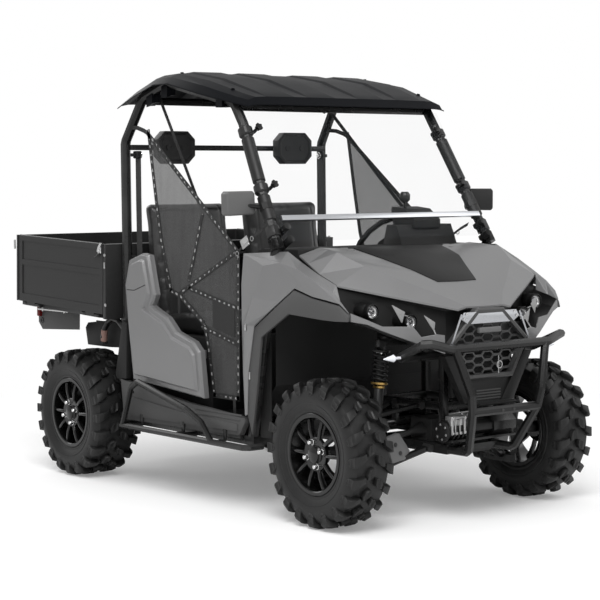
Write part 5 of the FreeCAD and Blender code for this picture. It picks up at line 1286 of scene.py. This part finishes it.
def makeFrontParts():
    y = grilleSet["front"] - 0.0005
    # The silver strips on the black frame's slanted chamfers are painted highlights
    highlightStrip = strapAlong("chamferHighlight", [(x, y, z) for x, z in frontSet["chamferHighlight"]], 0.008, 0.003, (0.91, 0, 0.42))
    fitPair([highlightStrip], "grilleChamferHighlights", "alloy")
    ring = washer("ring", 0.013, 0.017, 0.004, 28)
    x, z = frontSet["ring"]
    putAt(ring, (x, y - 0.001, z), (0, -1, 0))
    stem = rodBetween("stem", (x, y + 0.002, z - 0.038), (x, y + 0.002, z + 0.038), 0.002, 8)
    settle(joinUp([smoothBy(ring), stem], "grilleRing"), "chassis", "zinc")
    ribs = [blockAt("rib", (-0.07, -1.3505, z), (0.07, -1.3455, z + 0.006), 0.0012) for z in frontSet["chin"]]
    settle(joinUp(ribs, "chinRibs"), "chassis", "trimGrey")
    spots = [((x, -1.4665, 0.487), (0, -1, 0)) for x in (-0.032, 0.032)]
    boltHead(frontSet["bumperBolt"], "castIron", "chassis", spots, "bumperBolts")
    guard = plate("guard", [(x, frontSet["guardY"], z) for x, z in frontSet["guard"]], (0, 0.028, 0))
    sinkFaces(guard, lambda spot, way: way.y < -0.9, 0.02, (0, 0.006, 0))
    guards = [smoothBy(bevelEdges(guard, 0.003), 35)]
    guards += [rodBetween("peg", (x, -1.09, z), (x, -1.01, z - 0.04), 0.009)
               for x, z in ((-0.31, 0.31), (-0.27, 0.29))]
    fitPair(guards, "armGuards", "guardGrey")
    spots = [((side * x, frontSet["guardY"] + 0.0055, z), (0, -1, 0)) for side in (-1, 1)
             for x, z in ((0.312, 0.33), (0.285, 0.292))]
    boltHead(frontSet["guardBolt"], "castIron", "chassis", spots, "guardBolts")
    housing = blockAt("housing", (-0.187, -1.3245, 0.378), (-0.104, -1.28, 0.458), 0.006, 3)
    sinkFaces(housing, lambda spot, way: way.y < -0.95 and spot.z > 0.4, 0.012, (0, 0.005, 0))
    ridges = [blockAt("ridge", (x, -1.328, 0.384), (x + 0.006, -1.3235, 0.452), 0.0015)
              for x in frontSet["ridges"]]
    settle(joinUp([housing] + ridges, "winchHousing"), "chassis", "castAlloy")
    spots = [((x, -1.3245, z), (0, -1, 0)) for x, z in ((-0.18, 0.448), (-0.111, 0.448), (-0.18, 0.388),
                                                        (-0.111, 0.388))]
    boltHead(frontSet["housingBolt"], "zinc", "chassis", spots, "housingBolts")


makeFrontParts()
print("front parts fitted")


# Cargo box details: rolled top rails, over-centre clips and catches
boxSet = {"rail": 0.0085, "railFront": (0.6, 1.149), "railRear": (1.4, 1.18), "x": 0.692, "clipX": 0.7015,
          "link": 0.0028, "handle": 0.004, "floorBar": 0.0065, "hangers": (1.08, 1.3), "bolt": 0.006,
          "roofBolt": 0.008}


def makeBoxParts():
    x = boxSet["x"]
    for side, name in ((1, "left"), (-1, "right")):
        body = bodyOf["side_gate_" + name]
        rail = pipeOf("rail", [(side * x, *boxSet["railFront"]), (side * x, *boxSet["railRear"])],
                      boxSet["rail"], 4)
        settle(rail, body, "boxBlack", name="gateRail" + name.title())
        out = side * boxSet["clipX"]
        near, far = sorted((out, out + side * 0.004))
        base = blockAt("base", (near, 0.588, 1.108), (far, 0.618, 1.14), 0.001)
        links = [base]
        for shift in (0, 0.011):
            links.append(pipeOf("link", [(out + side * 0.007, 0.606 + shift, 1.118),
                                         (out + side * 0.008, 0.594 + shift, 1.14),
                                         (out + side * 0.004, 0.582 + shift, 1.158)], boxSet["link"], 2))
        links.append(rodBetween("pin", (out, 0.612, 1.12), (out + side * 0.009, 0.612, 1.12), 0.0055, 14))
        settle(joinUp(links, "gateClip" + name.title()), body, "chrome")
        handle = pipeOf("handle", [(out + side * 0.0045, 0.6, 1.11), (out + side * 0.007, 0.625, 1.095),
                                   (out + side * 0.006, 0.64, 1.09)], boxSet["handle"], 2)
        settle(handle, body, "powderBlack", name="clipHandle" + name.title())
        near, far = sorted((side * 0.6995, side * 0.704))
        catch = blockAt("catch", (near, 0.5585, 1.036), (far, 0.5685, 1.066), 0.001)
        settle(catch, "cargo_bed", "zinc", name="gateCatch" + name.title())
    bars = [rodBetween("bar", (0.62, 1.05, 0.8005), (0.62, 1.36, 0.801), boxSet["floorBar"])]
    bars += [blockAt("hanger", (0.614, y, 0.79), (0.626, y + 0.014, 0.822)) for y in boxSet["hangers"]]
    fitPair(bars, "floorBars", "zinc", "cargo_bed")


makeBoxParts()
print("box parts fitted")


# Bolts on the box, rockers, roof and tailgate, each where a straight line first meets its panel
bolt = boxSet["bolt"]
boltsOn("cargo_bed", bolt, "zinc", [(-1.2, 0.563, z) for z in (0.86, 1.1)], (1, 0, 0), "boxBolts")
boltsOn("rockers", bolt, "powderBlack", [(-1.2, y, 0.45) for y in (-0.4, 0.0, 0.4)], (1, 0, 0), "rockerBolts")
boltsOn("roof", boxSet["roofBolt"], "roofBlack", [(-0.55, y, 2.3) for y in (-0.3, 0.1, 0.45)], (0, 0, -1),
        "roofBolts")
boltsOn("tailgate", bolt, "zinc", [(-0.66, 2.0, z) for z in (0.9, 1.13)], (0, -1, 0), "tailgateBolts")
print("panel bolts fitted")


# Rocker steps: three black brackets and ribs along the tread
rockerSet = {"brackets": (-0.356, -0.027, 0.321), "half": 0.012, "ribs": 3, "ribStep": 0.02}


def makeRockerParts():
    brackets, half = [], rockerSet["half"]
    for y in rockerSet["brackets"]:
        for x, z in ((0.69, 0.306), (0.6615, 0.352)):
            brackets.append(blockAt("bracket", (0.655, y - half, 0.298), (x, y + half, z), 0.0015))
    fitPair(brackets, "stepBrackets", "powderBlack")
    ribs = []
    for index in range(rockerSet["ribs"]):
        drop = rockerSet["ribStep"] * index
        found = touch("rockers", (-1.2, -0.3, 0.44 - drop), (1, 0, 0))
        if found:
            x = -found[0].x
            ribs.append(blockAt("tread", (x - 0.004, -0.49 + 0.01 * index, 0.438 - drop),
                                (x + 0.0025, -0.12, 0.446 - drop), 0.0015))
    fitPair(ribs, "treadRibs", "trimGrey")


makeRockerParts()
print("rocker steps fitted")


# Cabin: instrument hood with its screen, gear gaiter, and sleeves and star-knob clamps on the front pillars
cabinSet = {"hood": ((-0.6, 1.225), (-0.6, 1.262), (-0.53, 1.312), (-0.438, 1.322), (-0.436, 1.3),
                     (-0.452, 1.225)), "hoodFrom": 0.255, "hoodWidth": 0.16, "gear": (0.275, -0.51),
            "pillar": ((0.6198, -0.7026, 1.1696), (0.5658, -0.3986, 1.6951)), "sleeve": 0.0285,
            "sleeves": ((0.19, 0.4), (0.51, 0.88)), "clamp": 0.0325, "clamps": (0.457, 0.933), "knob": 0.0155,
            "lobe": 0.0035, "lobes": 5, "knobSteps": 20}


def makeCabinParts():
    hoodPiece = plate("hoodPiece", [(cabinSet["hoodFrom"], y, z) for y, z in cabinSet["hood"]],
                      (cabinSet["hoodWidth"], 0, 0))
    sinkFaces(hoodPiece, lambda spot, way: way.y > 0.85, 0.01, (0, -0.006, 0))
    settle(smoothBy(bevelEdges(hoodPiece, 0.007, 3), 35), "chassis", "gritPlastic", name="instrumentHood")
    screen = plate("screen", [(0.27, -0.4575, 1.24), (0.4, -0.4575, 1.24), (0.4, -0.4465, 1.296),
                              (0.27, -0.4465, 1.296)], (0, 0.003, 0))
    settle(smoothBy(bevelEdges(screen, 0.001), 35), "chassis", "screenFace", name="instrumentScreen")
    gaiter = turned("gaiter", [(0, 0), (0.036, 0), (0.038, 0.006), (0.031, 0.012), (0.032, 0.02),
                               (0.025, 0.026), (0.026, 0.034), (0.019, 0.04), (0.013, 0.052), (0, 0.052)], 28)
    x, y = cabinSet["gear"]
    found = touch("dashboard", (x, y, 1.6), (0, 0, -1))
    putAt(gaiter, (x, y, (found[0].z if found else 1.2) - 0.004))
    settle(smoothBy(gaiter, 60), "chassis", "gripRubber", name="gearGaiter")
    low, high = (Vector(spot) for spot in cabinSet["pillar"])
    along = (high - low).normalized()
    out = Vector((0, -along.z, along.y)).normalized()
    sleeves = [rodBetween("sleeve", low + (high - low) * first, low + (high - low) * last, cabinSet["sleeve"],
                          20) for first, last in cabinSet["sleeves"]]
    fitPair(sleeves, "pillarSleeves", "gripRubber")
    clamps = []
    for share in cabinSet["clamps"]:
        spot = low + (high - low) * share
        clamps.append(rodBetween("clamp", spot - along * 0.022, spot + along * 0.022, cabinSet["clamp"], 24))
        hold = spot - Vector((0.043, 0, 0))
        clamps.append(rodBetween("arm", spot, hold, 0.009, 14))
        clamps.append(rodBetween("stud", hold, hold + out * 0.0315, 0.008, 14))
        lobes = []
        for index in range(cabinSet["knobSteps"]):
            turn = 2 * math.pi * index / cabinSet["knobSteps"]
            reach = cabinSet["knob"] + cabinSet["lobe"] * math.cos(cabinSet["lobes"] * turn)
            lobes.append((reach * math.cos(turn), reach * math.sin(turn), 0))
        knob = smoothBy(bevelEdges(plate("knob", lobes, (0, 0, 0.016)), 0.002, 2, 50), 35)
        clamps.append(putAt(knob, hold + out * 0.0375, out))
    fitPair(clamps, "screenClamps", "powderBlack")


makeCabinParts()
print("cabin parts fitted")


# Rear and under parts: a pipe bend with a pale sleeve on the right side only, wheel guards with stays,
# brackets at the box's tail, and the radiator with its stays
underSet = {"bend": ((-0.6, 0.56, 0.745), (-0.6, 0.61, 0.778), (-0.6, 0.66, 0.783), (-0.6, 0.705, 0.765),
                     (-0.6, 0.737, 0.73), (-0.6, 0.752, 0.69), (-0.585, 0.76, 0.655)), "pipe": 0.014,
            "sleeve": 0.0165, "guard": ((0.98, 0.722), (0.955, 0.748), (0.742, 0.77), (0.56, 0.745),
                                        (0.56, 0.645), (0.746, 0.636), (0.96, 0.636)), "guardX": 0.56,
            "guardStays": (0.76, 0.94), "stay": 0.005, "sheet": 0.004, "bracketX": 0.6,
            "bracket": ((1.385, 0.818), (0.97, 0.802), (0.975, 0.712), (1.345, 0.694), (1.385, 0.73)),
            "fins": 9, "finFrom": 0.548, "finStep": 0.0205, "radiatorStays": (0.56, 0.71)}


def makeUnderParts():
    bend = pipeOf("bend", underSet["bend"], underSet["pipe"], 4)
    settle(bend, "chassis", "powderBlack", name="rearBend")
    sleeve = rodBetween("sleeve", (-0.6, 0.7385, 0.727), (-0.5935, 0.7565, 0.668), underSet["sleeve"], 20)
    settle(sleeve, "chassis", "sleevePink", name="bendSleeve")
    sheet = underSet["sheet"]
    guard = plate("guard", [(underSet["guardX"], y, z) for y, z in underSet["guard"]], (sheet, 0, 0))
    guards = [smoothBy(bevelEdges(guard, 0.0012), 30)]
    guards += [rodBetween("stay", (0.3705, y, 0.7), (0.5625, y, 0.7), underSet["stay"], 12)
               for y in underSet["guardStays"]]
    fitPair(guards, "wheelGuards", "gritPlastic")
    bracket = plate("bracket", [(underSet["bracketX"], y, z) for y, z in underSet["bracket"]], (sheet, 0, 0))
    loop = washer("loop", 0.009, 0.015, 0.004, 24)
    putAt(loop, (0.6035, 1.35, 0.74), (1, 0, 0))
    flange = plate("flange", [(x, y, 0.7935)
                              for x, y in ((0.57, 1.36), (0.604, 1.36), (0.604, 0.99), (0.57, 0.99))],
                   (0, 0, sheet))
    parts = [smoothBy(bevelEdges(piece, 0.001), 30) for piece in (bracket, flange)] + [smoothBy(loop)]
    fitPair(parts, "tailBrackets", "trimGrey", "cargo_bed")
    cores = [blockAt("core", (-0.175, -1.3115, 0.535), (0.175, -1.2865, 0.735), 0.004)]
    for step in range(underSet["fins"]):
        z = underSet["finFrom"] + underSet["finStep"] * step
        cores.append(blockAt("fin", (-0.168, -1.3145, z), (0.168, -1.311, z + 0.009), 0.0012))
    settle(joinUp(cores, "radiator"), "chassis", "insertBlack")
    stays = [rodBetween("stay", (0.12, -1.29, z), (0.12, -1.235, z), 0.008, 12)
             for z in underSet["radiatorStays"]]
    fitPair(stays, "radiatorStays", "powderBlack")


makeUnderParts()
print("under parts fitted")


# Seams and small clips laid on the panels where a line from the side meets them
seamSet = {"places": ((0.466, 0.949), (0.401, 0.941), (0.336, 0.94), (0.279, 0.957), (0.239, 0.969)),
           "width": 0.0035, "tabs": ((-0.542, 0.816), (-0.544, 0.603)), "latch": (0.7015, 1.447, 1.118),
           "latchRadius": 0.005}


def seamOn(node, places, width, finish, name):
    points = []
    for y, z in places:
        found = touch(node, (-1.2, y, z), (1, 0, 0))
        if found:
            points.append(found[0] - Vector((0.0003, 0, 0)))
    print(name, len(points))
    if len(points) > 1:
        ways = [after - before for before, after in zip(points, points[1:])]
        ways.append(ways[-1])
        across = [Vector((0, -way.z, way.y)).normalized() for way in ways]
        settle(bothSides([strapAlong("seam", points, width, 0.001, across)], name), bodyOf[node], finish)


seamOn("side_panels", seamSet["places"], seamSet["width"], "insertBlack", "panelSeams")
tabs = []
for y, z in seamSet["tabs"]:
    found = touch("arch_trims", (-1.2, y, z), (1, 0, 0)) or touch("front_fenders", (-1.2, y, z), (1, 0, 0))
    if found:
        x = -found[0].x
        tabs.append(blockAt("tab", (x - 0.001, y - 0.005, z - 0.016), (x + 0.003, y + 0.005, z + 0.016),
                            0.001))
if tabs:
    fitPair(tabs, "trimTabs", "zinc")
x, y, z = seamSet["latch"]
latches = [rodBetween("latch", (x, y, z), (x, y, z + 0.042), seamSet["latchRadius"], 12),
           blockAt("plate", (0.6995, 1.437, 1.112), (0.702, 1.457, 1.124), 0.0008)]
fitPair(latches, "tailLatches", "zinc", bodyOf["tailgate"])
print("seams, tabs and latches fitted")


# The top of each net's upper tie, up to the roof
def makeTieTops():
    foot = Vector(tieSet["upper"][-1])
    way = Vector(tieSet["way"]).normalized()
    found = touch("roof", foot, way)
    if found and (found[0] - foot).length < tieSet["reach"]:
        points = [foot - way * 0.01, found[0] + way * 0.001]
        top = strapAlong("tieTop", points, tieSet["wide"], tieSet["thick"], (0, -0.74, 0.67))
        fitPair([top], "netTieTops", "webPlain")


makeTieTops()
print("ties run to the roof")
